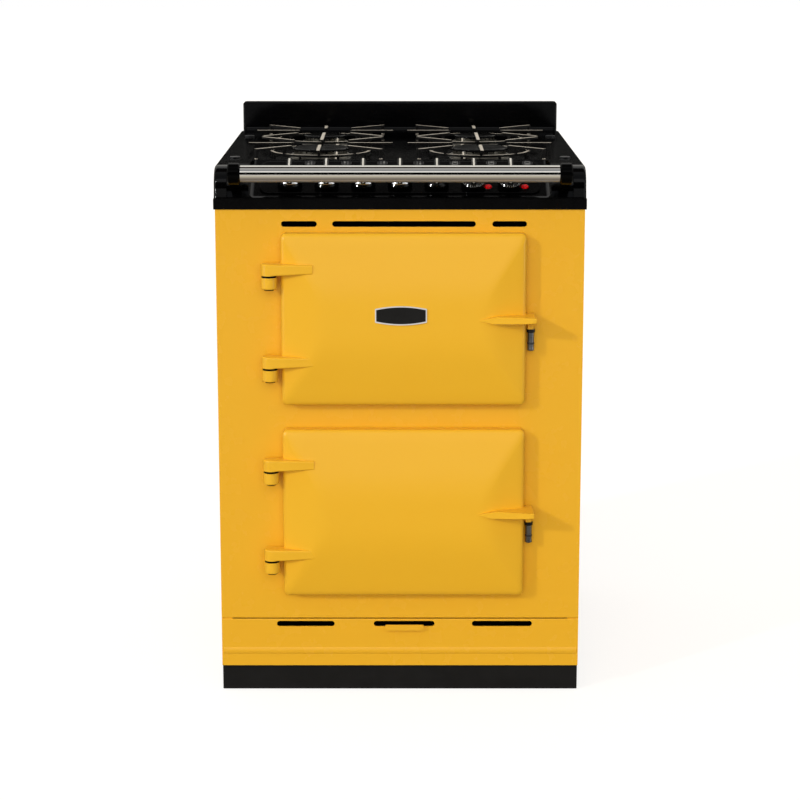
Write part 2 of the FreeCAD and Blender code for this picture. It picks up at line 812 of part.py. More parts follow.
def build_hinge_bracket(door_z, up):
    z1 = door_z + up - knuckle_gap / 2
    z0 = z1 - knuckle_height
    knuckle = Part.makeCylinder(knuckle_radius, knuckle_height, Vector(hinge_x, hinge_y, z0))
    foot_edge = [e for e in knuckle.Edges if e.BoundBox.ZMax < z0 + knuckle_height / 2]
    knuckle = knuckle.makeFillet(strap_round, foot_edge)
    half_web = hinge_web_width / 2
    web = block(hinge_x - half_web, hinge_x + half_web, hinge_y, front_y, z0 + strap_round, z1)
    plate = block(hinge_x - knuckle_radius, hinge_x + half_web, front_y - sheet, front_y,
                  z0 + strap_round, z1)
    bore = Part.makeCylinder(pin_radius + running_gap, knuckle_height + 2 * cut_over,
                             Vector(hinge_x, hinge_y, z0 - cut_over))
    return knuckle.fuse([web, plate]).cut(bore).removeSplitter()


def build_hinge_pin(door_z, up):
    z1 = door_z + up - knuckle_gap / 2
    z0 = z1 - knuckle_height
    spot = Vector(hinge_x, hinge_y, z0 - pin_head_height)
    head = Part.makeCylinder(pin_head_radius, pin_head_height - running_gap, spot)
    shank = Part.makeCylinder(pin_radius, pin_head_height + 2 * knuckle_height - 2 * sheet, spot)
    washer_spot = Vector(hinge_x, hinge_y, z1 + washer_gap)
    washer = Part.makeCylinder(washer_radius, knuckle_gap - 2 * washer_gap, washer_spot)
    return head.fuse([shank, washer]).removeSplitter()


def arched_face(width, height, arch, y):
    # Short straight sides, top and bottom arched outwards
    hx, hz = width / 2, height / 2
    low = hz - arch
    a, b = Vector(badge_x - hx, y, badge_z - low), Vector(badge_x + hx, y, badge_z - low)
    c, d = Vector(badge_x + hx, y, badge_z + low), Vector(badge_x - hx, y, badge_z + low)
    bottom = Part.Arc(a, Vector(badge_x, y, badge_z - hz), b).toShape()
    top = Part.Arc(c, Vector(badge_x, y, badge_z + hz), d).toShape()
    wire = Part.Wire([bottom, Part.LineSegment(b, c).toShape(), top, Part.LineSegment(d, a).toShape()])
    return Part.Face(wire)


def build_badge():
    face_y = door_front_y()
    outer = arched_face(badge_width, badge_height, badge_arch, face_y - badge_thick)
    inner = arched_face(badge_width - 2 * badge_rim, badge_height - 2 * badge_rim, badge_arch,
                        face_y - badge_thick)
    grown = outer.extrude(Vector(0, badge_thick, 0))
    hole = inner.extrude(Vector(0, badge_thick, 0))
    rim = grown.cut(hole)
    plate = arched_face(badge_width - 2 * badge_rim, badge_height - 2 * badge_rim, badge_arch,
                        face_y - badge_thick + badge_face_drop)
    return rim, plate.extrude(Vector(0, badge_thick - badge_face_drop, 0))


def build_oven_liner(door_z, holed):
    y0 = front_y + sheet + seat_gap
    y1 = y0 + cavity_depth
    cz = door_z + door_height / 2
    grow = seat_gap + liner_sheet
    outer = mouth_plate(door_z, grow, y0, y1)
    inner = mouth_plate(door_z, seat_gap, y0 - cut_over, y1 - liner_sheet)
    lip = mouth_plate(door_z, grow + seal_width, y0, y0 + liner_sheet)
    body = outer.fuse(lip).cut(inner)
    if holed:
        body = body.cut(Part.makeCylinder(shaft_radius + sheet, 4 * cut_over,
                                          Vector(oven_x, y1 - 2 * cut_over, cz), Vector(0, 1, 0)))
    return body.removeSplitter()


def cavity_half_width():
    return mouth_width / 2 + seat_gap


def rack_rail_z(door_z, level):
    return door_z + mouth_bottom + rack_first + level * rack_pitch


def build_rack(door_z, side):
    y0 = front_y + sheet + rack_front
    y1 = y0 + rack_depth
    wall = oven_x + side * (cavity_half_width() - seat_gap)
    inner = wall - side * rack_sheet
    tip = inner - side * rack_rail_reach
    z0 = rack_rail_z(door_z, 0) - rack_rail_pair
    z1 = rack_rail_z(door_z, rack_rails - 1) + 2 * rack_rail_pair
    plate = block(min(wall, inner), max(wall, inner), y0, y1, z0, z1)
    rails = []
    for level in range(rack_rails):
        for lift in (0, rack_rail_pair):
            z = rack_rail_z(door_z, level) + lift
            rails.append(block(min(inner, tip), max(inner, tip), y0, y1, z - rack_rail_height, z))
    windows = []
    for level in range(rack_rails):
        z = rack_rail_z(door_z, level) + rack_rail_pair
        windows.append(block(min(wall, inner), max(wall, inner), y0 + rack_front, y1 - rack_front,
                             z + rack_rail_height, z + rack_pitch - 2 * rack_rail_pair))
    return plate.cut(windows).fuse(rails).removeSplitter()


def build_shelf(door_z, level):
    # Wire shelf that lies on one pair of rack rails
    half = mouth_width / 2 - sheet - shelf_side_gap - shelf_frame_radius
    y0 = front_y + sheet + rack_front + shelf_frame_radius
    y1 = y0 + shelf_depth
    z = rack_rail_z(door_z, level) + shelf_frame_radius + seat_gap
    r = shelf_frame_radius
    x0, x1 = oven_x - half, oven_x + half
    sides = [Part.makeCylinder(r, y1 - y0, Vector(x, y0, z), Vector(0, 1, 0)) for x in (x0, x1)]
    ends = [Part.makeCylinder(r, x1 - x0, Vector(x0, y, z), Vector(1, 0, 0)) for y in (y0, y1)]
    balls = [Part.makeSphere(r, Vector(x, y, z)) for x in (x0, x1) for y in (y0, y1)]
    wires = []
    for i in range(shelf_wires):
        x = x0 + (x1 - x0) * (i + 1) / (shelf_wires + 1)
        wires.append(Part.makeCylinder(shelf_wire_radius, y1 - y0, Vector(x, y0, z), Vector(0, 1, 0)))
    return sides[0].fuse(sides[1:] + ends + balls + wires)


def build_grill_element(door_z):
    # Serpentine heating rod under the roof of the oven, its ends through the back wall
    z = door_z + door_height / 2 + mouth_height / 2 - grill_drop
    y_front = front_y + sheet + grill_front
    y_back = y_front + grill_run
    y_end = front_y + sheet + cavity_depth - liner_sheet
    runs = 2 * grill_loops
    pitch = 2 * grill_bend
    x0 = oven_x - pitch * (runs - 1) / 2
    points = [Vector(x0, y_end, z)]
    for i in range(runs):
        x = x0 + pitch * i
        going_front = i % 2 == 0
        points.append(Vector(x, y_front if going_front else y_back, z))
        if i < runs - 1:
            points.append(Vector(x + pitch, y_front if going_front else y_back, z))
    points[-1] = Vector(x0 + pitch * (runs - 1), y_end, z)
    return pipe(points, grill_bend * grill_bend_share, grill_radius)


def fan_axis_spot(y):
    return Vector(oven_x, y, lower_door_z + door_height / 2)


def oven_back_y():
    return front_y + sheet + seat_gap + cavity_depth - liner_sheet


def build_fan_cover():
    # Baffle plate with a slotted inlet ring in front of the fan
    y0 = oven_back_y() - baffle_gap
    cz = lower_door_z + door_height / 2
    plate = rounded_plate(oven_x, cz, mouth_width - 2 * baffle_side_gap, mouth_height - 2 * baffle_side_gap,
                          mouth_radius, y0, y0 + baffle_sheet)
    half_x = mouth_width / 2 - baffle_side_gap
    legs = []
    for side in (-1, 1):
        x = oven_x + side * (half_x - mouth_radius)
        legs.append(Part.makeCylinder(shaft_radius, baffle_gap - baffle_sheet - seat_gap,
                                      Vector(x, y0 + baffle_sheet, cz), Vector(0, 1, 0)))
    cuts = []
    for i in range(baffle_ring_slots):
        turn = full_turn * i / baffle_ring_slots
        inner = baffle_hole_radius * baffle_slot_share
        bar = block(-sheet, sheet, -cut_over, cut_over, inner, baffle_hole_radius)
        bar.rotate(Vector(0, 0, 0), Vector(0, 1, 0), turn)
        bar.translate(fan_axis_spot(y0))
        cuts.append(bar)
    return plate.cut(cuts).fuse(legs)


def build_impeller():
    y1 = oven_back_y() - impeller_back_gap
    y0 = y1 - impeller_depth
    back = Vector(0, 1, 0)
    plate = Part.makeCylinder(impeller_radius, blade_sheet, fan_axis_spot(y1 - blade_sheet), back)
    hub = Part.makeCylinder(impeller_hub_radius, impeller_depth, fan_axis_spot(y0), back)
    blades = []
    for i in range(impeller_blades):
        outer = impeller_radius * blade_end_share
        blade = block(impeller_radius * blade_start_share, outer, -impeller_depth, 0,
                      -blade_sheet / 2, blade_sheet / 2)
        blade.rotate(Vector(outer, 0, 0), back, blade_turn)
        blade.rotate(Vector(0, 0, 0), back, full_turn * i / impeller_blades)
        blade.translate(fan_axis_spot(y1))
        blades.append(blade)
    bore_depth = impeller_depth * hub_bore_share
    bore = Part.makeCylinder(shaft_radius + running_gap, bore_depth, fan_axis_spot(y1 - bore_depth), back)
    return plate.fuse([hub] + blades).cut(bore).removeSplitter()


def build_motor():
    wall_y = oven_back_y() + liner_sheet
    back = Vector(0, 1, 0)
    can = Part.makeCylinder(motor_radius, motor_depth, fan_axis_spot(wall_y + seat_gap), back)
    can = can.makeFillet(sheet, [e for e in can.Edges if not is_along(e, back)])
    shaft_y = oven_back_y() - impeller_back_gap - impeller_depth * shaft_end_share
    shaft = Part.makeCylinder(shaft_radius, wall_y + motor_depth / 2 - shaft_y, fan_axis_spot(shaft_y), back)
    return can.fuse(shaft)


def build_fan_element():
    # Heating ring round the impeller with two straight ends through the back wall
    y = oven_back_y() - impeller_back_gap - impeller_depth / 2
    ring = Part.makeTorus(element_radius, element_tube, fan_axis_spot(y), Vector(0, 1, 0),
                          0, full_turn, full_turn)
    tails = []
    for side in (-1, 1):
        foot = fan_axis_spot(y) + Vector(side * element_radius, 0, 0)
        foot -= Vector(0, tail_share * element_tube, 0)
        length = oven_back_y() - seat_gap - foot.y
        tails.append(Part.makeCylinder(tail_share * element_tube, length, foot, Vector(0, 1, 0)))
    return ring.fuse(tails)


def hob_outline(inset):
    # Side view of the hob's cheeks, from the lip round the front to the back edge
    y0 = front_y + inset
    lean = pillar_lean
    r = pillar_front_round
    top = hob_edge_z - inset
    yr = y0 + lean
    turn = math.radians(eighth_turn)
    start = Vector(0, yr, top - r)
    mid = Vector(0, yr + r - r * math.cos(turn), top - r + r * math.sin(turn))
    end = Vector(0, yr + r, top)
    return start, mid, end


def hob_body(x0, x1, inset, floor_z, back):
    # A slab with the rounded front, between two X values
    start, mid, end = [v + Vector(x0, 0, 0) for v in hob_outline(inset)]
    foot = Vector(x0, front_y + inset, floor_z)
    knee = Vector(x0, front_y + inset, slope_foot_z)
    rear_top = Vector(x0, back, end.z)
    rear_low = Vector(x0, back, floor_z)
    wire = Part.Wire([Part.LineSegment(foot, knee).toShape(), Part.LineSegment(knee, start).toShape(),
                      Part.Arc(start, mid, end).toShape(), Part.LineSegment(end, rear_top).toShape(),
                      Part.LineSegment(rear_top, rear_low).toShape(),
                      Part.LineSegment(rear_low, foot).toShape()])
    return Part.Face(wire).extrude(Vector(x1 - x0, 0, 0))


def above_slope(x0, x1, drop):
    # Everything over the ledge and the sloping panel, lowered by drop
    z_ledge = slope_foot_z - drop
    high = upstand_top_z
    over = high - hob_edge_z
    points = [(front_y - rail_reach, z_ledge), (slope_foot_y, z_ledge),
              (slope_foot_y + slope_rise / math.tan(slope) + over / math.tan(slope),
               z_ledge + slope_rise + over),
              (front_y - rail_reach, z_ledge + slope_rise + over)]
    return prism_x(points, x0, x1)


def build_hob_top():
    half = hob_width / 2 - cheek_inset
    shell = hob_body(-half, half, 0, body_top_z, back_y)
    # Rounded long edges of the cheeks
    outer_edges = [e for e in shell.Edges if all(abs(abs(v.Point.x) - half) < seat_gap for v in e.Vertexes)
                   and min(v.Point.z for v in e.Vertexes) > slope_foot_z - seat_gap
                   and max(v.Point.y for v in e.Vertexes) <= back_y and not is_along(e, Vector(0, 0, 1))]
    shell = shell.makeFillet(edge_round, outer_edges)
    # Faces set back between each pillar and the bay
    for side in (-1, 1):
        inner = side * (half - pillar_width)
        bay = side * (bay_half_width - cut_over)
        x0, x1 = min(inner, bay), max(inner, bay)
        room = hob_body(x0, x1, -rail_reach, slope_foot_z + seat_gap, back_y)
        keep = hob_body(x0 - cut_over, x1 + cut_over, cheek_setback, body_top_z, back_y)
        shell = shell.cut(room.cut(keep))
    # Bay with its sloping panel
    bay = above_slope(-bay_half_width, bay_half_width, 0)
    low = [e for e in bay.Edges if is_along(e, Vector(0, 1, 0))
           and abs(e.Vertexes[0].Point.z - slope_foot_z) < seat_gap]
    slant = [e for e in bay.Edges if is_along(e, up_slope)]
    bay = bay.makeFillet(bay_corner, low + slant)
    shell = shell.cut(bay)
    # Sunken well for the burners
    well = rounded_well(-well_half, well_half, well_y0, well_y1, well_radius, well_z, hob_edge_z + cut_over)
    shell = shell.cut(well)
    # Lip that laps over the body
    lip = block(-hob_width / 2, hob_width / 2, front_y - lip_reach, back_y,
                body_top_z, body_top_z + lip_height)
    shell = shell.fuse(lip)
    # Hollow underneath
    t = hob_sheet
    hollow = hob_body(-half + t, half - t, t + cheek_setback, body_top_z - cut_over, back_y - t)
    hollow = hollow.cut(above_slope(-bay_half_width - t, bay_half_width + t, t / math.cos(slope)))
    hollow = hollow.cut(rounded_well(-well_half - t, well_half + t, well_y0 - t, well_y1 + t,
                                     well_radius + t, well_z - t, hob_edge_z + cut_over))
    top_cut = block(-half, half, front_y, back_y, hob_edge_z - t, upstand_top_z)
    hollow = hollow.cut(top_cut)
    shell = shell.fuse(build_upstand()).cut(hollow)
    under = Vector(0, 0, -2 * cut_over)
    spindle_drill = Part.makeCylinder(spindle_radius + spindle_hole_gap, 4 * cut_over, under)
    neon_drill = Part.makeCylinder(neon_stem_radius + seat_gap, 4 * cut_over, under)
    throat_drill = Part.makeCylinder(burner_throat_radius + seat_gap, 4 * cut_over, under)
    holes = [to_slope(spindle_drill, x, control_up) for x in control_xs]
    holes += [to_slope(neon_drill, x + neon_offset_x, neon_up) for x in lamp_xs]
    holes += [throat_drill.translated(Vector(x, y, well_z)) for x, y, row in burners]
    return shell.cut(holes).removeSplitter()


def build_upstand():
    # Rear splashback with a coved foot and round top corners
    cz = (upstand_top_z + slope_foot_z) / 2
    plate = rounded_plate(0, cz, 2 * upstand_half_width, upstand_top_z - slope_foot_z, upstand_corner,
                          upstand_front_y, back_y)
    rims = [e for e in plate.Edges if abs(e.BoundBox.YMin - e.BoundBox.YMax) < running_gap
            and abs(e.BoundBox.YMin - upstand_front_y) < running_gap]
    plate = plate.makeFillet(upstand_round, rims)
    r = cove_radius
    centre = Vector(-upstand_half_width + upstand_corner, upstand_front_y - r, hob_edge_z + r)
    a = Vector(centre.x, upstand_front_y - r, hob_edge_z)
    b = Vector(centre.x, upstand_front_y, hob_edge_z + r)
    turn = math.radians(eighth_turn)
    mid = centre + Vector(0, r * math.sin(turn), -r * math.cos(turn))
    under = Vector(centre.x, upstand_front_y + upstand_round, hob_edge_z - hob_sheet / 2)
    back_up = Vector(centre.x, upstand_front_y + upstand_round, hob_edge_z + r)
    front_low = Vector(centre.x, upstand_front_y - r, hob_edge_z - hob_sheet / 2)
    wire = Part.Wire([Part.Arc(a, mid, b).toShape(), Part.LineSegment(b, back_up).toShape(),
                      Part.LineSegment(back_up, under).toShape(),
                      Part.LineSegment(under, front_low).toShape(),
                      Part.LineSegment(front_low, a).toShape()])
    cove = Part.Face(wire).extrude(Vector(2 * (upstand_half_width - upstand_corner), 0, 0))
    low = block(-upstand_half_width, upstand_half_width, upstand_front_y - cut_over, back_y + cut_over,
                slope_foot_z - cut_over, hob_edge_z - hob_sheet / 2)
    return plate.cut(low).fuse(cove)


def build_fascia():
    # Separate sloping plate with round corners, drawn flat and then laid on the slope
    length = slope_length - 2 * fascia_margin
    plate = block(-fascia_half_width, fascia_half_width, fascia_margin, fascia_margin + length,
                  seat_gap, seat_gap + fascia_sheet)
    plate = plate.makeFillet(fascia_corner, [e for e in plate.Edges if is_along(e, Vector(0, 0, 1))])
    top = [e for e in plate.Edges if e.BoundBox.ZMin > seat_gap + fascia_sheet - running_gap]
    plate = plate.makeFillet(fascia_sheet * fascia_round_share, top)
    reach = 2 * cut_over
    holes = [Part.makeCylinder(spindle_radius + spindle_hole_gap, reach, Vector(x, control_up, -cut_over))
             for x in control_xs]
    stem_hole = Part.makeCylinder(neon_stem_radius + seat_gap, reach,
                                  Vector(neon_offset_x, neon_up, -cut_over))
    holes += [stem_hole.translated(Vector(x, 0, 0)) for x in lamp_xs]
    return to_slope(plate.cut(holes), 0, 0)


def fascia_top():
    return seat_gap + fascia_sheet


def build_symbol_disc(x):
    disc = Part.makeCylinder(disc_radius, disc_thick, Vector(0, 0, 0))
    disc = disc.makeChamfer(disc_thick / 3, [e for e in disc.Edges if e.BoundBox.ZMin > disc_thick / 2])
    return to_slope(disc, x + disc_offset_x, disc_up, fascia_top())


def build_neon(x):
    stem = Part.makeCylinder(neon_stem_radius, neon_stem, Vector(0, 0, -neon_stem))
    lens = Part.makeCylinder(neon_radius, neon_height, Vector(0, 0, 0))
    rim = [e for e in lens.Edges if e.BoundBox.ZMin > neon_height / 2]
    lens = lens.makeFillet(neon_height * neon_round_share, rim)
    return to_slope(lens.fuse(stem).removeSplitter(), x + neon_offset_x, neon_up, fascia_top())


def build_knob(x):
    # Round skirt, sloped shoulder and a flat upright blade to grip, with a raised pointer line
    base = knob_gap
    side = [(0, base), (skirt_radius, base), (skirt_radius, base + skirt_height * skirt_edge_share),
            (skirt_waist_radius, base + skirt_height), (knob_neck_radius, base + skirt_shoulder),
            (0, base + skirt_shoulder)]
    corners = [Vector(r, 0, h) for r, h in side]
    face = Part.Face(Part.makePolygon(corners + corners[:1]))
    body = face.revolve(Vector(0, 0, 0), Vector(0, 0, 1), full_turn)
    half_t, half_l = grip_blade_thick / 2, grip_blade_length / 2
    top = base + knob_height
    blade = block(-half_t, half_t, -half_l, half_l, base + skirt_shoulder - sheet, top)
    drum = Part.makeCone(half_l, half_l * blade_draft_share, top - base, Vector(0, 0, base))
    blade = blade.common(drum)
    ridge = [e for e in blade.Edges if e.BoundBox.ZMin > top - running_gap]
    blade = blade.makeFillet(half_t * blade_round_share, ridge)
    cheek = Part.makeCone(knob_neck_radius * cheek_foot_share, half_t * cheek_top_share,
                          knob_height * cheek_height_share, Vector(0, 0, base + skirt_shoulder - running_gap))
    pointer = block(-pointer_width / 2, pointer_width / 2, half_l * pointer_start_share,
                    half_l * pointer_end_share, top - sheet, top + pointer_height)
    bore = Part.makeCylinder(spindle_radius + running_gap, spindle_socket, Vector(0, 0, base - running_gap))
    knob = body.fuse([blade, cheek, pointer]).cut(bore).removeSplitter()
    return to_slope(knob, x, control_up, fascia_top())


def build_spindle(x):
    # Round tap spindle from inside the tap up into the knob
    start = -hob_sheet - seat_gap - tap_neck
    length = fascia_top() + knob_gap + spindle_socket - sheet - start
    rod = Part.makeCylinder(spindle_radius, length, Vector(0, 0, start))
    return to_slope(rod, x, control_up)


def build_tap(x):
    # Tap body with a bored neck below the sloping panel and a saddle for the manifold
    top = -hob_sheet - seat_gap
    half = tap_width / 2
    neck = Part.makeCylinder(tap_neck_radius, tap_neck, Vector(0, 0, top - tap_neck))
    body = block(-half, half, -half, half, top - tap_neck - tap_length, top - tap_neck)
    body = body.makeFillet(half / 4, [e for e in body.Edges if is_along(e, Vector(0, 0, 1))])
    saddle = block(-half / 2, half / 2, half - sheet, manifold_up,
                   -manifold_drop - half / 2, -manifold_drop + half / 2)
    pipe_room = Part.makeCylinder(pipe_radius + seat_gap, 2 * tap_width,
                                  Vector(-tap_width, manifold_up, -manifold_drop), Vector(1, 0, 0))
    bore = Part.makeCylinder(spindle_radius + running_gap, tap_neck + 2 * cut_over,
                             Vector(0, 0, top - tap_neck - cut_over))
    return to_slope(neck.fuse([body, saddle]).cut([pipe_room, bore]).removeSplitter(), x, control_up)


def build_switch(x):
    # Thermostat or grill switch can with a fixed spindle
    top = -hob_sheet - seat_gap
    can_radius = control_pitch * switch_radius_share
    can = Part.makeCylinder(can_radius, switch_length, Vector(0, 0, top - switch_length))
    can = can.makeChamfer(sheet, [e for e in can.Edges if not is_along(e, Vector(0, 0, 1))])
    length = fascia_top() + knob_gap + spindle_socket - sheet - top
    rod = Part.makeCylinder(spindle_radius, length, Vector(0, 0, top))
    return to_slope(can.fuse(rod).removeSplitter(), x, control_up)


def manifold_spot(x):
    return on_slope(x, control_up + manifold_up, -manifold_drop)


def build_manifold():
    start = manifold_spot(gas_xs[0] - manifold_end_gap)
    end = manifold_spot(gas_xs[-1] + manifold_end_gap)
    rail = Part.makeCylinder(pipe_radius, end.x - start.x, start, Vector(1, 0, 0))
    cap = Part.makeCylinder(pipe_radius + sheet, 2 * sheet, start - Vector(2 * sheet, 0, 0), Vector(1, 0, 0))
    return rail.fuse(cap).removeSplitter()


def build_supply():
    # Supply pipe from the manifold along the right side to the threaded inlet at the back
    start = manifold_spot(gas_xs[-1] + manifold_end_gap)
    drop_y = (rear_panel_y + back_y) / 2
    level = start.z
    turn_x = start.x + pipe_bend
    behind = start.y + supply_back
    points = [start, Vector(turn_x, start.y, level), Vector(turn_x, behind, level),
              Vector(supply_x, behind, level), Vector(supply_x, drop_y, level),
              Vector(supply_x, drop_y, inlet_end_z)]
    tube = pipe(points, pipe_bend - pipe_radius, pipe_radius)
    thread = Part.makeCylinder(inlet_radius, inlet_length, Vector(supply_x, drop_y, inlet_end_z))
    turns = [math.radians(full_turn * k / hex_sides) for k in range(hex_sides)]
    spots = [Vector(supply_x + inlet_hex_radius * math.cos(t), drop_y + inlet_hex_radius * math.sin(t),
                    inlet_end_z + inlet_length) for t in turns]
    hexagon = Part.Face(Part.makePolygon(spots + spots[:1])).extrude(Vector(0, 0, inlet_hex_height))
    return tube.fuse([thread, hexagon]).removeSplitter()


def build_burner_base(x, y, row):
    r = burner_radii[row] + crown_wall
    dish = Part.makeCone(r + crown_wall, r, burner_base_height - seat_gap, Vector(x, y, well_z + seat_gap))
    cup_z = well_z - hob_sheet - seat_gap - burner_cup_height
    cup = Part.makeCylinder(burner_cup_radius, burner_cup_height, Vector(x, y, cup_z))
    throat = Part.makeCylinder(burner_throat_radius, well_z + sheet - cup_z, Vector(x, y, cup_z))
    return dish.fuse([cup, throat]).removeSplitter()


def build_burner_crown(x, y, row):
    r = burner_radii[row]
    z0 = well_z + burner_base_height
    ring = Part.makeCylinder(r, crown_height, Vector(x, y, z0)).cut(
        Part.makeCylinder(r - crown_wall, crown_height, Vector(x, y, z0 + sheet)))
    cuts = []
    for i in range(crown_slots):
        slit = block(r - 2 * crown_wall, r + cut_over, -crown_slot_width / 2, crown_slot_width / 2,
                     crown_height - crown_slot_height, crown_height + cut_over)
        slit.rotate(Vector(0, 0, 0), Vector(0, 0, 1), full_turn * i / crown_slots)
        slit.translate(Vector(x, y, z0))
        cuts.append(slit)
    return ring.cut(cuts)


def build_burner_cap(x, y, row):
    r = burner_radii[row] + cap_overhang
    z0 = well_z + burner_base_height + crown_height + cap_gap
    cap = Part.makeCylinder(r, cap_height, Vector(x, y, z0))
    rim = [e for e in cap.Edges if e.BoundBox.ZMin > z0 + cap_height / 2]
    return cap.makeFillet(cap_height * cap_round_share, rim)


def build_electrode(x, y, row):
    side = 1 if x < 0 else -1
    turn = math.radians(electrode_turn)
    reach = burner_radii[row] + 2 * crown_wall + electrode_gap + electrode_collar_radius
    spot = Vector(x + side * reach * math.cos(turn), y - reach * math.sin(turn), well_z + seat_gap)
    rod = Part.makeCylinder(electrode_radius, electrode_height, spot)
    collar = Part.makeCylinder(electrode_collar_radius, electrode_collar_height, spot)
    return rod.fuse(collar).removeSplitter()


def build_finger(x, y, turn, reach, foot):
    # A flat bar that points at the burner, tapered at its tip, with a leg to the well
    inner, outer = reach
    half = finger_width / 2
    top = support_top_z
    low = top - finger_height
    tip = half - finger_taper
    plan = [(inner, -tip), (inner + finger_width, -half), (outer, -half), (outer, half),
            (inner + finger_width, half), (inner, tip)]
    corners = [Vector(px, py, low) for px, py in plan]
    bar = Part.Face(Part.makePolygon(corners + corners[:1])).extrude(Vector(0, 0, finger_height))
    pieces = []
    if foot:
        leg_half = half * finger_leg_share
        ball_z = well_z + foot_ball_radius + seat_gap
        leg = block(outer - finger_height, outer, -leg_half, leg_half, ball_z - seat_gap, low + sheet)
        ball = Part.makeSphere(foot_ball_radius, Vector(outer - finger_height / 2, 0, ball_z))
        pieces += [leg, ball]
    if inner < ring_radius < outer:
        post_half = half * finger_post_share
        pieces.append(block(ring_radius - ring_width / 2, ring_radius + ring_width / 2, -post_half, post_half,
                            ring_top_z - ring_height, low + sheet))
    bar = bar.fuse(pieces)
    bar.rotate(Vector(0, 0, 0), Vector(0, 0, 1), turn)
    bar.translate(Vector(x, y, 0))
    return bar


def build_ring_leg(x, y, turn):
    angle = math.radians(turn)
    out = Vector(ring_radius * math.cos(angle), ring_radius * math.sin(angle), 0)
    height = ring_top_z - sheet - well_z - seat_gap
    return Part.makeCylinder(ring_leg_radius, height, Vector(x, y, well_z + seat_gap) + out)


def build_pan_support(side):
    # Two rings joined by one long finger, with fingers at every eighth of a turn
    x = side * burner_x
    front_y0, back_y0 = burner_front_y, burner_front_y + burner_pitch_y
    pieces = []
    for y in (front_y0, back_y0):
        ring = Part.makeCylinder(ring_radius + ring_width / 2, ring_height,
                                 Vector(x, y, ring_top_z - ring_height))
        hole = Part.makeCylinder(ring_radius - ring_width / 2, ring_height + 2 * cut_over,
                                 Vector(x, y, ring_top_z - ring_height - cut_over))
        pieces.append(ring.cut(hole))
        flip = 0 if y == front_y0 else half_turn
        pieces += [build_ring_leg(x, y, turn - flip) for turn in ring_leg_turns]
        for turn in (0, half_turn):
            pieces.append(build_finger(x, y, turn, side_finger, False))
        for quarter in range(4):
            turn = eighth_turn + quarter * right_angle
            outer_foot = (turn > half_turn) == (y == front_y0)
            pieces.append(build_finger(x, y, turn, corner_finger, outer_foot))
    pieces.append(build_finger(x, front_y0, -right_angle, front_finger, False))
    pieces.append(build_finger(x, back_y0, right_angle, (front_finger[0], ring_radius + finger_width), False))
    bridge = (side_finger[0], burner_pitch_y - side_finger[0])
    pieces.append(build_finger(x, front_y0, right_angle, bridge, False))
    stop = build_finger(x, back_y0, -right_angle, (side_finger[0], ring_radius + finger_width), False)
    pieces.append(stop)
    return pieces[0].fuse(pieces[1:]).removeSplitter()


def build_hob_cap(x, y):
    cap = Part.makeCylinder(hob_cap_radius, hob_cap_height, Vector(x, y, hob_edge_z + seat_gap))
    rim = [e for e in cap.Edges if e.BoundBox.ZMin > hob_edge_z + hob_cap_height / 2]
    return cap.makeFillet(hob_cap_height / 2, rim)


def rail_y():
    return front_y - rail_reach


def build_rail():
    start = Vector(-rail_half_length, rail_y(), rail_z)
    along = Vector(1, 0, 0)
    tube = Part.makeCylinder(rail_radius, 2 * rail_half_length, start, along)
    bore = Part.makeCylinder(rail_radius - rail_wall, 2 * rail_half_length, start, along)
    return tube.cut(bore)


def build_rail_bracket(side):
    # Round end boss, arm back to the cheek and a spigot inside the tube
    inner = side * (rail_half_length + seat_gap)
    outer = side * (rail_half_length + seat_gap + bracket_width)
    x0, x1 = min(inner, outer), max(inner, outer)
    along = Vector(1, 0, 0)
    boss = Part.makeCylinder(bracket_radius, x1 - x0, Vector(x0, rail_y(), rail_z), along)
    boss = boss.makeChamfer(sheet, [e for e in boss.Edges if not is_along(e, along)])
    half = bracket_arm_height / 2
    deep_y = front_y + cheek_setback + pillar_front_round
    foot_z = slope_foot_z + cheek_setback
    arm = prism_x([(rail_y(), rail_z + half), (rail_y(), rail_z - half), (front_y + cheek_setback, foot_z),
                   (deep_y, foot_z), (deep_y, hob_edge_z - cheek_setback)], x0 + sheet, x1 - sheet)
    arm = arm.cut(hob_body(x0, x1, cheek_setback - seat_gap, body_top_z, back_y))
    spigot_x = inner - (bracket_spigot + seat_gap if side > 0 else 0)
    spigot = Part.makeCylinder(rail_radius - rail_wall - seat_gap, bracket_spigot + seat_gap,
                               Vector(spigot_x, rail_y(), rail_z), along)
    return boss.fuse([arm, spigot]).removeSplitter()


def build_terminal_box():
    # Mains terminal box on the back with a cable gland pointing down
    y0, y1 = rear_panel_y, rear_panel_y + terminal_depth
    half = terminal_width / 2
    z0, z1 = terminal_z, terminal_z + terminal_height
    case = block(terminal_x - half, terminal_x + half, y0, y1, z0, z1)
    case = case.makeFillet(terminal_wall, [e for e in case.Edges if e.BoundBox.YMin > y0 + sheet])
    w = terminal_wall
    hollow = block(terminal_x - half + w, terminal_x + half - w, y0 + w, y1 - w, z0 + w, z1 - w)
    axis_y = (y0 + y1) / 2
    down = Vector(0, 0, -1)
    sleeve = Part.makeCylinder(gland_radius + gland_wall / 2, gland_length,
                               Vector(terminal_x, axis_y, z0), down)
    bore = Part.makeCylinder(gland_radius - gland_wall / 2, gland_length + 2 * cut_over,
                             Vector(terminal_x, axis_y, z0 + 2 * w), down)
    return case.cut(hollow).fuse(sleeve).cut(bore).removeSplitter()


os.makedirs("parts", exist_ok=True)

save("left_side_panel", build_side_panel(-1))
save("right_side_panel", build_side_panel(1))
save("back_panel", build_back_panel())
save("base_tray", build_base_tray())
save("levelling_feet", *[build_foot(x, y) for x, y in foot_places()])
save("plinth", build_plinth())
save("front_panel", build_front_panel())
save("lower_panel", build_lower_panel())
save("door_catches", build_catch(upper_door_z), build_catch(lower_door_z))

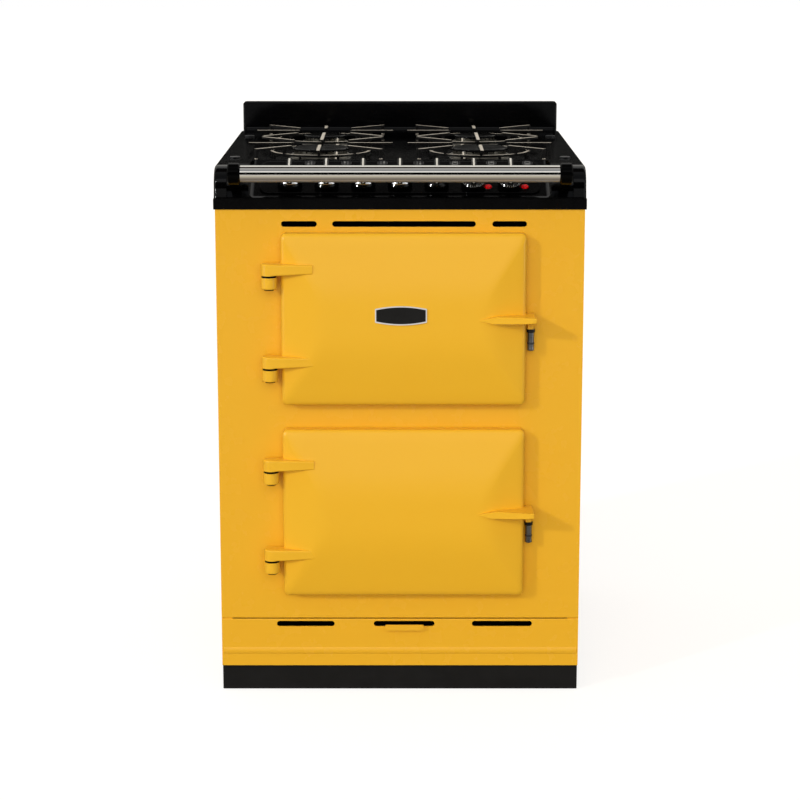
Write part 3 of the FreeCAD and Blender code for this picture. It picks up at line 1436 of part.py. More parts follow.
for name, door_z in (("upper", upper_door_z), ("lower", lower_door_z)):
    save(name + "_door", build_door_casting(door_z))
    save(name + "_door_liner", build_door_liner(door_z))
    save(name + "_door_seal", build_door_seal(door_z))
    save(name + "_door_latch", build_latch_barrel(door_z))
    save(name + "_oven_liner", build_oven_liner(door_z, door_z == lower_door_z))
    save(name + "_oven_shelf", build_shelf(door_z, 0))

hinges = [(door_z, up) for door_z in (upper_door_z, lower_door_z) for up in hinge_heights]
save("hinge_brackets", *[build_hinge_bracket(door_z, up) for door_z, up in hinges])
save("hinge_pins", *[build_hinge_pin(door_z, up) for door_z, up in hinges])
save("shelf_racks", *[build_rack(door_z, side) for door_z in (upper_door_z, lower_door_z)
                      for side in (-1, 1)])

badge_rim_ring, badge_face = build_badge()
save("badge_rim", badge_rim_ring)
save("badge_plate", badge_face)

save("grill_element", build_grill_element(upper_door_z))
save("fan_cover", build_fan_cover())
save("fan_impeller", build_impeller())
save("fan_motor", build_motor())
save("fan_element", build_fan_element())

save("hob_top", build_hob_top())
save("control_fascia", build_fascia())
save("symbol_discs", *[build_symbol_disc(x) for x in control_xs])
save("neon_lamps", *[build_neon(x) for x in lamp_xs])
for name, x in zip(knob_names, control_xs):
    save(name, build_knob(x))
for i, x in enumerate(gas_xs):
    save("tap_spindle_" + str(i + 1), build_spindle(x))
save("gas_taps", *[build_tap(x) for x in gas_xs])
save("oven_switches", *[build_switch(x) for x in oven_xs])
save("gas_manifold", build_manifold())
save("gas_inlet", build_supply())

save("burner_bases", *[build_burner_base(*spot) for spot in burners])
save("burner_crowns", *[build_burner_crown(*spot) for spot in burners])
save("burner_caps", *[build_burner_cap(*spot) for spot in burners])
save("spark_electrodes", *[build_electrode(*spot) for spot in burners])
save("left_pan_support", build_pan_support(-1))
save("right_pan_support", build_pan_support(1))
save("hob_fixing_caps", *[build_hob_cap(side * hob_cap_x, y) for side in (-1, 1)
                          for y in (hob_cap_front_y, hob_cap_back_y)])
save("handrail", build_rail())
save("rail_brackets", build_rail_bracket(-1), build_rail_bracket(1))
save("terminal_box", build_terminal_box())
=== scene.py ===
import json
import math

import bmesh
import bpy
from mathutils import Matrix, Vector


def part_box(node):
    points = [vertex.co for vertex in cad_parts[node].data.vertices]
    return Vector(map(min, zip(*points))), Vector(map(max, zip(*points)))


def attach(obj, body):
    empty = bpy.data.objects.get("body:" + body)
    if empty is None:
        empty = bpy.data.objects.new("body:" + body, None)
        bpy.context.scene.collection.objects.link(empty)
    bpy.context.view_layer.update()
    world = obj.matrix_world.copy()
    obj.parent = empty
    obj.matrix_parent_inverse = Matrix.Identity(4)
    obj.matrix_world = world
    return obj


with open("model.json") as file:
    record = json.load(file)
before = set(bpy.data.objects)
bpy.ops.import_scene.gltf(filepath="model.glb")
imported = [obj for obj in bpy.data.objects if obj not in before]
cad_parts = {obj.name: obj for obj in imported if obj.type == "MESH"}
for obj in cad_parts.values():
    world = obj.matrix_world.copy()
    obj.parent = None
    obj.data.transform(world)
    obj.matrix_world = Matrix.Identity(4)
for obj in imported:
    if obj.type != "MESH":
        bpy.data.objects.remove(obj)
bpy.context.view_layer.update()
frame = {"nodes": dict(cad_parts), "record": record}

# All sizes are in metres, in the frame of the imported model, and all angles in degrees
mm = 0.001

# Camera, placed by matching edges of the photograph: it looks down by its tilt
camera_spot = (0.0, -3.784, 1.278)
camera_tilt = 11.38
camera_lens = 97.9
camera_shift = -0.05

# The sloping control panel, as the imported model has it: its foot is (y, z), and what sits on it has its place
# up the slope and its offset from the knob beside it
slope_angle = 29.0
slope_foot = (-261.5 * mm, 841.0 * mm)
fascia_top = 2.3 * mm
control_up = 29.5 * mm
control_pitch = 60.0 * mm
disc_offset = 31.0 * mm
disc_up = 88.0 * mm
neon_offset = 24.0 * mm
neon_up = 21.0 * mm

# Knobs from left to right, and the height of their foot over the panel
hob_knobs = ["hob_knob_1", "hob_knob_2", "hob_knob_3", "hob_knob_4"]
plain_knobs = ["grill_knob"]
dial_knobs = ["upper_oven_knob", "lower_oven_knob"]
all_knobs = hob_knobs + plain_knobs + dial_knobs
knob_base = 3.6 * mm

# Grip of a knob: half its length at the foot, its height and the share of its length left at the top. Then
# the metal strip let into it: where it starts, how wide and thick it is, the round of its top corners, and
# how far it stands out at the ends
grip_half = 17.0 * mm
grip_top = 38.6 * mm
grip_share = 0.86
inlay_foot = 11.0 * mm
inlay_wide = 3.2 * mm
inlay_thick = 1.3 * mm
inlay_corner = 2.2 * mm
inlay_lift = 0.15 * mm

# Graduation marks of a dial, printed on the slope of its skirt, with every third one long
mark_count = 28
mark_from = 125.0
mark_to = 415.0
long_every = 3
mark_outer = 19.7 * mm
long_inner = 17.3 * mm
short_inner = 18.2 * mm
long_wide = 0.9 * mm
short_wide = 0.6 * mm
mark_thick = 0.14 * mm
skirt_edge = 20.0 * mm
skirt_edge_height = 4.3 * mm
skirt_rise = 1.12

# Signs on the discs: four dots with one of them large, or an oven's outline with a bar across it
disc_face = 1.25 * mm
dot_place = 2.6 * mm
large_dot = 1.5 * mm
small_dot = 0.8 * mm
sign_half = 4.0 * mm
sign_line = 0.5 * mm
sign_bar_half = 2.6 * mm
sign_bar_level = 1.6 * mm
sign_bar_wide = 0.9 * mm
ink_thick = 0.12 * mm

# Burners: how far from the middle, where the front row is, how far behind it the rear row is, radii of the
# front and rear crowns, and how far from its crown and how far round it an electrode stands
burner_x = 137.0 * mm
burner_front = -28.0 * mm
burner_pitch = 228.0 * mm
crown_radii = (46.0 * mm, 36.0 * mm)
electrode_gap = 12.2 * mm
electrode_turn = 60.0

# Hob: height of its edge, then how far inside its side the cheek, the control bay, the foot of the bay's
# round and the burner well are, the well's corner, and where the slope ends and the well begins and ends
hob_edge = 890.0 * mm
cheek_inset = 21.5 * mm
bay_inset = 56.5 * mm
foot_inset = 61.5 * mm
well_inset = 46.0 * mm
well_corner = 24.0 * mm
slope_end = -173.0 * mm
well_front = -159.1 * mm
well_back = 312.0 * mm

# Strip between cheek and bay: how far it stands up, where it starts behind the round front of the recess, its
# round lead, and how far its walls and its faces keep clear
strip_tall = 6.0 * mm
strip_front = -236.0 * mm
strip_lead = 4.5 * mm
strip_clear = 0.05 * mm
strip_skim = 0.02 * mm

# Doors: the plane of their inner plates
door_names = ["upper", "lower"]
door_plate_y = -286.5 * mm

# Back: length of the cable gland, and the middle of the gas inlet
gland_length = 16.0 * mm
inlet_x = 262.0 * mm
inlet_y = 336.0 * mm

# Lamps: watts per square metre of the suns, watts of the strip lamps, and where they shine from
key_power = 0.78
key_spread = 1.5
key_way = (-70, -60, 38)
fill_power = 1.65
fill_spread = 50.0
fill_way = (0, -100, 26)
strip_lamp_power = 9.0
strip_lamp_size = (0.4, 1.2)
strip_lamp_spot = (2.6, -1.25, 0.8)
strip_lamp_aim = (0.0, -0.3, 0.5)

# Floor: half its width, how white the camera sees it, and its own tone under the lamps
floor_reach = 30.0
floor_glow = 0.8
floor_tone = "#A8A49C"

# Surroundings: their tone, how bright they are to the object, and how much more so towards the left
air_tone = "#FFF9F2"
air_level = 0.36
air_swing = 0.34
air_lean = (-0.74, -0.25, 0.62)

# What a mirror sees of the floor, by distance in metres, and of the surroundings, by rise over a half turn
floor_stops = [(0.0, "#706860"), (0.7, "#7C756C"), (1.0, "#928A82"), (1.4, "#B8B2A4"), (2.1, "#CDC8B9"),
               (3.9, "#E8E2DC"), (5.2, "#D8D4CE"), (5.7, "#141414"), (9.3, "#141414"), (9.7, "#FFFFFF"),
               (13.0, "#FFFFFF"), (13.6, "#141414"), (20.0, "#101010")]
band_stops = [(0.0, "#080808"), (0.14, "#0C0C0C"), (0.155, "#FFFFFF"), (0.235, "#FFFFFF"), (0.25, "#8C9198"),
              (0.36, "#9A9B9D"), (0.48, "#C4C6C8"), (0.495, "#463C34"), (0.60, "#2A2420"), (0.652, "#1C1815"),
              (0.662, "#FFFFFF"), (0.79, "#F0EEE8"), (0.92, "#D8D6D0"), (0.945, "#101010"), (1.0, "#101010")]

# Smoothness of turned pieces by size, and the angle from which an edge stays sharp
turned_steps = 64
ring_steps = 48
small_steps = 24
crease = 35.0


def linear(code):
    """Turns an sRGB hex colour into linear red, green, blue and alpha."""
    parts = [int(code[i:i + 2], 16) / 255 for i in (1, 3, 5)]
    return [p / 12.92 if p <= 0.04045 else ((p + 0.055) / 1.055) ** 2.4 for p in parts] + [1.0]


def add(tree, kind, settings=None, links=None):
    """Adds one node, sets its properties or sockets, and links its sockets."""
    new = tree.nodes.new(kind)
    for name, value in (settings or {}).items():
        if isinstance(name, str) and hasattr(new, name):
            setattr(new, name, value)
        else:
            new.inputs[name].default_value = value
    for name, source in (links or {}).items():
        tree.links.new(source, new.inputs[name])
    return new


def start(name, settings):
    """Opens a material: its tree, its shader and coordinates in metres that move with the piece."""
    material = bpy.data.materials.new(name)
    material.use_nodes = True
    tree = material.node_tree
    tree.nodes.clear()
    shader = add(tree, "ShaderNodeBsdfPrincipled", settings)
    add(tree, "ShaderNodeOutputMaterial", {}, {"Surface": shader.outputs["BSDF"]})
    place = add(tree, "ShaderNodeTexCoord")
    return material, tree, shader, place.outputs["Object"]


def ramp_through(tree, value, stops):
    """Colour ramp through the given stops, each a place from 0 to 1 and a colour."""
    ramp = add(tree, "ShaderNodeValToRGB", {}, {"Fac": value})
    elements = ramp.color_ramp.elements
    for position, code in stops[1:-1]:
        elements.new(position)
    for element, (position, code) in zip(elements, stops):
        element.position, element.color = position, linear(code)
    return ramp


def mottle(tree, place, shader, size, light, dark):
    """Base colour that drifts between two tones over patches of the given size."""
    cloud = add(tree, "ShaderNodeTexNoise", {"Scale": 1 / size, "Detail": 3.0, "Roughness": 0.55},
                {"Vector": place})
    ramp = ramp_through(tree, cloud.outputs["Fac"], [(0.35, dark), (0.65, light)])
    tree.links.new(ramp.outputs["Color"], shader.inputs["Base Color"])
    return ramp


def swing(tree, value, smooth, rough, shader):
    """Roughness that follows a noise between two values."""
    between = add(tree, "ShaderNodeMapRange",
                  {"From Min": 0.3, "From Max": 0.7, "To Min": smooth, "To Max": rough}, {"Value": value})
    tree.links.new(between.outputs["Result"], shader.inputs["Roughness"])


def spread(tree, place, shader, size, smooth, rough):
    """Roughness that drifts between two values over patches of the given size."""
    cloud = add(tree, "ShaderNodeTexNoise", {"Scale": 1 / size, "Detail": 4.0}, {"Vector": place})
    swing(tree, cloud.outputs["Fac"], smooth, rough, shader)


def relief(tree, height, shader, depth, strength=1.0, under=None):
    """Bump of the given depth in metres, laid over an earlier one if there is one."""
    links = {"Height": height}
    if under is not None:
        links["Normal"] = under.outputs["Normal"]
    bump = add(tree, "ShaderNodeBump", {"Distance": depth, "Strength": strength}, links)
    tree.links.new(bump.outputs["Normal"], shader.inputs["Normal"])
    return bump


def vitreous_enamel(name, light, dark, peel, depth, roughness, coat, ior=1.45):
    # Glass fused onto steel: deep even colour, a glossy skin and a soft orange peel
    material, tree, shader, place = start(name, {"IOR": ior, "Coat Weight": coat, "Coat Roughness": 0.06})
    mottle(tree, place, shader, 55 * mm, light, dark)
    spread(tree, place, shader, 30 * mm, roughness, roughness + 0.02)
    skin = add(tree, "ShaderNodeTexNoise", {"Scale": 1 / peel, "Detail": 2.0}, {"Vector": place})
    relief(tree, skin.outputs["Fac"], shader, depth)
    return material


def cast_enamel(name, light, dark):
    # Vitreous enamel on cast iron: the sand's slow ripple shows under the gloss
    material, tree, shader, place = start(name, {"IOR": 1.33, "Coat Weight": 0.05, "Coat Roughness": 0.12})
    mottle(tree, place, shader, 70 * mm, light, dark)
    spread(tree, place, shader, 24 * mm, 0.28, 0.31)
    wave = add(tree, "ShaderNodeTexNoise", {"Scale": 1 / (26 * mm), "Detail": 1.0}, {"Vector": place})
    under = relief(tree, wave.outputs["Fac"], shader, 0.5 * mm, 0.35)
    skin = add(tree, "ShaderNodeTexNoise", {"Scale": 1 / (2.4 * mm), "Detail": 2.0}, {"Vector": place})
    relief(tree, skin.outputs["Fac"], shader, 0.03 * mm, 0.6, under)
    return material


def flecked_enamel(name, ground, fleck):
    # Oven enamel: dark glass with pale flecks about a millimetre across
    material, tree, shader, place = start(name, {"IOR": 1.5, "Roughness": 0.3, "Coat Weight": 0.2})
    dots = add(tree, "ShaderNodeTexVoronoi", {"Scale": 1 / (3.2 * mm), "Randomness": 1.0}, {"Vector": place})
    edge = ramp_through(tree, dots.outputs["Distance"], [(0.10, fleck), (0.17, ground)])
    tree.links.new(edge.outputs["Color"], shader.inputs["Base Color"])
    skin = add(tree, "ShaderNodeTexNoise", {"Scale": 1 / (2.0 * mm)}, {"Vector": place})
    relief(tree, skin.outputs["Fac"], shader, 0.03 * mm)
    return material


def galvanised_sheet(name):
    # Hot-dip zinc: crystal spangles of about a centimetre, each with its own grey
    material, tree, shader, place = start(name, {"Metallic": 1.0})
    cells = add(tree, "ShaderNodeTexVoronoi", {"Scale": 1 / (9 * mm)}, {"Vector": place})
    grey = add(tree, "ShaderNodeSeparateColor", {}, {"Color": cells.outputs["Color"]})
    ramp = ramp_through(tree, grey.outputs["Red"], [(0.0, "#9EA3A6"), (1.0, "#C4C8CA")])
    tree.links.new(ramp.outputs["Color"], shader.inputs["Base Color"])
    dull = add(tree, "ShaderNodeMapRange", {"To Min": 0.34, "To Max": 0.52}, {"Value": grey.outputs["Green"]})
    tree.links.new(dull.outputs["Result"], shader.inputs["Roughness"])
    grain = add(tree, "ShaderNodeTexNoise", {"Scale": 1 / (1.2 * mm), "Detail": 3.0}, {"Vector": place})
    relief(tree, grain.outputs["Fac"], shader, 0.02 * mm)
    return material


def textured_coat(name, light, dark, grain, depth, smooth, rough, ior=1.5):
    # Powder coat or moulded plastic: even colour with a fine pebbled skin
    material, tree, shader, place = start(name, {"IOR": ior})
    mottle(tree, place, shader, 40 * mm, light, dark)
    spread(tree, place, shader, 18 * mm, smooth, rough)
    skin = add(tree, "ShaderNodeTexNoise", {"Scale": 1 / grain, "Detail": 3.0}, {"Vector": place})
    relief(tree, skin.outputs["Fac"], shader, depth)
    return material


def worked_metal(name, light, dark, smooth, rough, stretch, line, depth, bare=1.0):
    # Rolled, turned or brushed metal: fine lines run along the way it was worked
    material, tree, shader, place = start(name, {"Metallic": bare})
    mottle(tree, place, shader, 35 * mm, light, dark)
    along = add(tree, "ShaderNodeMapping", {"Scale": stretch}, {"Vector": place})
    lines = add(tree, "ShaderNodeTexNoise", {"Scale": 1 / line, "Detail": 4.0, "Roughness": 0.6},
                {"Vector": along.outputs["Vector"]})
    swing(tree, lines.outputs["Fac"], smooth, rough, shader)
    relief(tree, lines.outputs["Fac"], shader, depth)
    return material


def woven_gasket(name):
    # Glass-fibre braid: a diagonal over-and-under weave of 2 mm strands
    material, tree, shader, place = start(name, {"Roughness": 0.92, "IOR": 1.45, "Sheen Weight": 0.3})
    mottle(tree, place, shader, 8 * mm, "#4A463F", "#2F2C28")
    strands = []
    for turn in (45.0, -45.0):
        tilt = add(tree, "ShaderNodeMapping", {"Rotation": (0.0, math.radians(turn), 0.0)}, {"Vector": place})
        wave = add(tree, "ShaderNodeTexWave", {"Scale": 1 / (2 * mm) / 6.5, "Distortion": 0.6},
                   {"Vector": tilt.outputs["Vector"]})
        strands.append(wave.outputs["Fac"])
    braid = add(tree, "ShaderNodeMath", {"operation": "MAXIMUM"}, {0: strands[0], 1: strands[1]})
    relief(tree, braid.outputs["Value"], shader, 0.5 * mm)
    return material


def heater_sheath(name):
    # Nickel alloy tube after heating: brown and blue oxide drifting along it
    material, tree, shader, place = start(name, {"Metallic": 0.7})
    ramp = mottle(tree, place, shader, 22 * mm, "#5A4A40", "#33363C")
    middle = ramp.color_ramp.elements.new(0.5)
    middle.color = linear("#4A3B33")
    spread(tree, place, shader, 6 * mm, 0.45, 0.65)
    grain = add(tree, "ShaderNodeTexNoise", {"Scale": 1 / (0.9 * mm)}, {"Vector": place})
    relief(tree, grain.outputs["Fac"], shader, 0.03 * mm)
    return material


def cast_aluminium(name):
    # Die-cast burner alloy: satin and slightly warm, with a fine sandy grain; its mid grey is partly the
    # alloy's own tone and partly painted shade for the shade under the burner caps
    material, tree, shader, place = start(name, {"Metallic": 1.0})
    # Partly painted shade: both tones are kept dark, as the crowns lie in the shade under the caps
    mottle(tree, place, shader, 12 * mm, "#8E8A7E", "#7A766B")
    spread(tree, place, shader, 5 * mm, 0.3, 0.42)
    grain = add(tree, "ShaderNodeTexNoise", {"Scale": 1 / (0.8 * mm), "Detail": 3.0}, {"Vector": place})
    relief(tree, grain.outputs["Fac"], shader, 0.05 * mm)
    return material


def facing_up(tree):
    """How far a face looks up: 1 on top, 0 at the sides and -1 underneath."""
    face = add(tree, "ShaderNodeNewGeometry")
    parts = add(tree, "ShaderNodeSeparateXYZ", {}, {"Vector": face.outputs["Normal"]})
    return parts.outputs["Z"]


def iron_with_painted_lit_tops(name):
    # Enamelled iron bars: black at the sides and pale on top, a painted highlight on the faces that look up and
    # painted shade at the sides
    material, tree, shader, place = start(name, {"Metallic": 0.35, "IOR": 1.4})
    # Painted highlight and shade: colour runs from black at the sides to pale cream on faces that look up
    ramp = ramp_through(tree, facing_up(tree), [(0.35, "#0C0B0A"), (0.75, "#E8DFCE")])
    tree.links.new(ramp.outputs["Color"], shader.inputs["Base Color"])
    spread(tree, place, shader, 9 * mm, 0.34, 0.46)
    grain = add(tree, "ShaderNodeTexNoise", {"Scale": 1 / (0.9 * mm), "Detail": 3.0}, {"Vector": place})
    relief(tree, grain.outputs["Fac"], shader, 0.03 * mm)
    return material


def polished_tube(name):
    # Polished stainless tube: mirror bright above, with painted shade underneath, where faces that look well
    # down turn a dull dark grey in place of the reflection of the warm front
    material, tree, shader, place = start(name, {"IOR": 1.3})
    # Painted shade: faces turned well down lose their metal shine and take a dull dark grey
    outside_painted_shade = add(tree, "ShaderNodeMapRange", {"From Min": -0.74, "From Max": -0.64},
                {"Value": facing_up(tree)})
    ramp = ramp_through(tree, outside_painted_shade.outputs["Result"], [(0.0, "#7A7E82"), (1.0, "#E4E1DA")])
    tree.links.new(ramp.outputs["Color"], shader.inputs["Base Color"])
    tree.links.new(outside_painted_shade.outputs["Result"], shader.inputs["Metallic"])
    spread(tree, place, shader, 20 * mm, 0.06, 0.12)
    lines = add(tree, "ShaderNodeTexNoise", {"Scale": 1 / (0.7 * mm), "Detail": 4.0}, {"Vector": place})
    relief(tree, lines.outputs["Fac"], shader, 0.002 * mm)
    return material


def lamp_lens(name):
    # Moulded red lens with fine prisms inside, which break up what it reflects
    material, tree, shader, place = start(name, {"Roughness": 0.1, "IOR": 1.25})
    mottle(tree, place, shader, 2.6 * mm, "#E8000A", "#8C0004")
    prisms = add(tree, "ShaderNodeTexVoronoi", {"Scale": 1 / (1.6 * mm)}, {"Vector": place})
    relief(tree, prisms.outputs["Distance"], shader, 0.25 * mm)
    return material


def glazed_ceramic(name):
    # Glazed porcelain sleeve: creamy white, smooth, with faint pin-holes
    material, tree, shader, place = start(name, {"Roughness": 0.18, "IOR": 1.5, "Coat Weight": 0.5})
    mottle(tree, place, shader, 4 * mm, "#F0E8D8", "#DDD3C0")
    holes = add(tree, "ShaderNodeTexNoise", {"Scale": 1 / (0.7 * mm)}, {"Vector": place})
    relief(tree, holes.outputs["Fac"], shader, 0.02 * mm)
    return material


def print_white(name):
    # Screen-printed white ink gone dull: dense, a little chalky, with soft pin-hole gaps
    material, tree, shader, place = start(name, {"Roughness": 0.55, "IOR": 1.5})
    mottle(tree, place, shader, 1.2 * mm, "#A8A8A5", "#949491")
    grain = add(tree, "ShaderNodeTexNoise", {"Scale": 1 / (0.4 * mm)}, {"Vector": place})
    relief(tree, grain.outputs["Fac"], shader, 0.01 * mm)
    return material


# How the lines of a worked metal are stretched: along an axis, or round it
along_x, around_x, around_z = (0.04, 1.0, 1.0), (1.0, 0.05, 0.05), (0.05, 0.05, 1.0)

finishes = {
    "yellow_enamel": vitreous_enamel("Yellow vitreous enamel on sheet steel", "#EDB22A", "#EDB129",
                                     2.6 * mm, 0.015 * mm, 0.26, 0.05, 1.33),
    "yellow_cast_enamel": cast_enamel("Yellow vitreous enamel on cast iron", "#EFB62A", "#EFB529"),
    "zinc_sheet": galvanised_sheet("Galvanised steel sheet"),
    "black_paint": textured_coat("Black powder coat on steel", "#101010", "#0B0B0B",
                                 0.9 * mm, 0.05 * mm, 0.42, 0.52),
    "black_plastic": textured_coat("Moulded black polypropylene", "#232323", "#1B1B1B",
                                   0.6 * mm, 0.04 * mm, 0.5, 0.6, 1.49),
    "bright_steel": worked_metal("Zinc plated steel", "#C9CACB", "#B2B3B5", 0.22, 0.36, around_z,
                                 0.8 * mm, 0.01 * mm),
    "door_liner_steel": vitreous_enamel("Dark vitreous enamel on pressed steel", "#1E1F22", "#18191B",
                                        2.2 * mm, 0.02 * mm, 0.22, 0.3),
    "seal_fibre": woven_gasket("Braided glass fibre gasket"),
    "latch_steel": worked_metal("Turned stainless steel", "#808284", "#686A6D", 0.24, 0.38, around_z,
                               0.5 * mm, 0.02 * mm),
    "oven_enamel": flecked_enamel("Flecked oven enamel", "#17191C", "#7D838A"),
    "shelf_wire": worked_metal("Bright chromed wire", "#D8D9DA", "#C6C8CA", 0.08, 0.16, along_x,
                               1.0 * mm, 0.005 * mm),
    "badge_chrome": worked_metal("Bright chrome plate", "#F0F1F2", "#E6E7E8", 0.05, 0.1, along_x,
                                 0.8 * mm, 0.003 * mm),
    "badge_black": textured_coat("Gloss black lacquer", "#0A0A0A", "#060606", 1.4 * mm, 0.004 * mm,
                                 0.1, 0.16, 1.33),
    "element_sheath": heater_sheath("Oxidised nickel alloy sheath"),
    "fan_steel": worked_metal("Pressed stainless sheet", "#BDBDBB", "#A3A3A1", 0.28, 0.42, along_x,
                              0.7 * mm, 0.01 * mm),
    "motor_steel": worked_metal("Plated steel can", "#9EA0A2", "#85888B", 0.3, 0.45, around_x,
                                0.9 * mm, 0.02 * mm),
    "black_enamel": vitreous_enamel("Black vitreous enamel on steel", "#030304", "#020202",
                                    1.8 * mm, 0.01 * mm, 0.12, 0.0, 1.28),
    "disc_steel": worked_metal("Blackened satin steel", "#4C4C4D", "#3B3B3C", 0.3, 0.44, along_x,
                               0.6 * mm, 0.01 * mm),
    "neon_lens": lamp_lens("Red lamp lens"),
    "tap_brass": worked_metal("Machined brass", "#D2B068", "#BC9850", 0.22, 0.36, around_z,
                              0.5 * mm, 0.02 * mm),
    "burner_alloy": cast_aluminium("Die-cast aluminium alloy"),
    "cap_enamel": textured_coat("Black enamel on steel", "#0A0A0A", "#060606", 1.2 * mm,
                                0.01 * mm, 0.14, 0.2, 1.2),
    "electrode_ceramic": glazed_ceramic("Glazed porcelain"),
    "satin_steel": worked_metal("Satin nickel on steel", "#F4F0E6", "#EAE6DA", 0.3, 0.4, along_x,
                                0.9 * mm, 0.02 * mm, 0.4),
    "support_iron": iron_with_painted_lit_tops("Black enamelled iron with painted light on top"),
    "rail_steel": polished_tube("Polished stainless tube"),
    "bracket_black": textured_coat("Gloss black enamel on steel", "#030303", "#020202", 1.6 * mm,
                                   0.01 * mm, 0.12, 0.18, 1.12),
    "knob_black": textured_coat("Moulded gloss black phenolic", "#050505", "#030303", 1.5 * mm,
                                0.006 * mm, 0.08, 0.14, 1.35),
}

white_ink = print_white("Screen printed white ink")
soft_rubber = textured_coat("Moulded black rubber", "#2A2B2C", "#1F2021", 0.5 * mm, 0.04 * mm, 0.55, 0.7)

# Nodes that wear another finish than the one of their slot
own_finish = {"left_pan_support": "support_iron", "right_pan_support": "support_iron",
              "hob_fixing_caps": "disc_steel", "hinge_pins": "bracket_black"}

for part in frame["record"]["subparts"]:
    node = frame["nodes"][part["node"]]
    node.data.materials.clear()
    node.data.materials.append(finishes[own_finish.get(part["node"], part["material_slot"])])


def lathe(profile, steps, place=Matrix()):
    """Spins a closed (radius, height) outline about Z into a watertight mesh."""
    shape = bmesh.new()
    rings = []
    for i in range(steps):
        turn = 2 * math.pi * i / steps
        rings.append([shape.verts.new((r * math.cos(turn), r * math.sin(turn), h)) for r, h in profile])
    for i in range(steps):
        here, there = rings[i], rings[(i + 1) % steps]
        for j in range(len(profile)):
            k = (j + 1) % len(profile)
            if profile[j][0] > 0 or profile[k][0] > 0:
                shape.faces.new((here[j], there[j], there[k], here[k]))
    bmesh.ops.remove_doubles(shape, verts=shape.verts, dist=1e-7)
    bmesh.ops.recalc_face_normals(shape, faces=shape.faces)
    shape.transform(place)
    return shape


def bar(path, across, width, thick, place=Matrix()):
    """A strip of rectangular section along a path of points; across is its width direction."""
    shape = bmesh.new()
    side = Vector(across).normalized()
    rows = []
    for i, spot in enumerate(path):
        ahead = Vector(path[min(i + 1, len(path) - 1)]) - Vector(path[max(i - 1, 0)])
        out = side.cross(ahead.normalized())
        rows.append([shape.verts.new(Vector(spot) + side * sx * width / 2 + out * sz * thick / 2)
                     for sx, sz in ((-1, -1), (1, -1), (1, 1), (-1, 1))])
    for here, there in zip(rows, rows[1:]):
        for j in range(4):
            k = (j + 1) % 4
            shape.faces.new((here[j], here[k], there[k], there[j]))
    shape.faces.new(rows[0])
    shape.faces.new(rows[-1])
    bmesh.ops.recalc_face_normals(shape, faces=shape.faces)
    shape.transform(place)
    return shape


def joined(shapes):
    """Gathers several meshes into one."""
    whole = bmesh.new()
    for shape in shapes:
        carrier = bpy.data.meshes.new("carrier")
        shape.to_mesh(carrier)
        whole.from_mesh(carrier)
        bpy.data.meshes.remove(carrier)
        shape.free()
    return whole


def piece(name, shape, finish, body, bevel=0.0, smooth_angle=crease):
    """Makes a mesh into a named piece that rides on a body."""
    mesh = bpy.data.meshes.new(name)
    shape.to_mesh(mesh)
    shape.free()
    mesh.materials.append(finish)
    made = bpy.data.objects.new(name, mesh)
    bpy.context.scene.collection.objects.link(made)
    mesh.shade_smooth()
    mesh.set_sharp_from_angle(angle=math.radians(smooth_angle))
    if bevel:
        rounding = made.modifiers.new("edges", "BEVEL")
        rounding.width = bevel
        rounding.segments = 2
        rounding.harden_normals = True
    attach(made, body)
    return made


def on_slope(x, up, off, turn=0.0):
    """Where a thing sits on the sloping panel, with its +Z off the slope and +Y up it."""
    tilt = math.radians(slope_angle)
    spot = Vector((x, slope_foot[0] + up * math.cos(tilt) - off * math.sin(tilt),
                   slope_foot[1] + up * math.sin(tilt) + off * math.cos(tilt)))
    return Matrix.Translation(spot) @ Matrix.Rotation(tilt, 4, "X") @ Matrix.Rotation(turn, 4, "Z")


def knob_x(name):
    """How far right of the middle a knob is: the fourth of the seven stands in the middle."""
    return (all_knobs.index(name) - len(all_knobs) // 2) * control_pitch


def knob_collar(name):
    """Bright dished collar between a hob knob's skirt and its grip."""
    profile = [(17.7, 6.6), (17.9, 7.2), (17.2, 8.2), (15.9, 9.7), (15.2, 10.3), (13.4, 10.5), (12.6, 10.0),
               (12.6, 9.2), (15.0, 8.8), (17.2, 6.6)]
    shape = lathe([(r * mm, h * mm) for r, h in profile], turned_steps,
                  on_slope(knob_x(name), control_up, fascia_top + knob_base))
    piece(name + "_collar", shape, finishes["badge_chrome"], name)


def knob_inlay(name):
    """Satin metal strip let into the ridge and both ends of a knob's grip."""
    ridge = grip_half * grip_share
    foot = grip_half - (grip_half - ridge) * inlay_foot / grip_top
    bend_y, bend_z, steps = ridge - inlay_corner, grip_top - inlay_corner, 5
    side = [(foot, inlay_foot), (ridge + inlay_lift, bend_z)]
    for i in range(1, steps):
        turn = math.pi / 2 * i / steps
        side.append((bend_y + inlay_corner * math.cos(turn), bend_z + inlay_corner * math.sin(turn)))
    side.append((bend_y, grip_top))
    path = [(0, -y, z) for y, z in side] + [(0, y, z) for y, z in reversed(side)]
    shape = bar(path, (1, 0, 0), inlay_wide, inlay_thick,
                on_slope(knob_x(name), control_up, fascia_top + knob_base))
    piece(name + "_inlay", shape, finishes["satin_steel"], name, 0.5 * mm)


def dial_marks(name):
    """White graduation marks printed round an oven knob's skirt."""
    marks = []
    for i in range(mark_count):
        turn = math.radians(mark_from + (mark_to - mark_from) * i / (mark_count - 1))
        inner, wide = (short_inner, short_wide) if i % long_every else (long_inner, long_wide)
        path = [(r, 0, skirt_edge_height + (skirt_edge - r) * skirt_rise) for r in (mark_outer, inner)]
        place = on_slope(knob_x(name), control_up, fascia_top + knob_base, turn)
        marks.append(bar(path, (0, 1, 0), wide, mark_thick, place))
    piece(name + "_marks", joined(marks), white_ink, name)


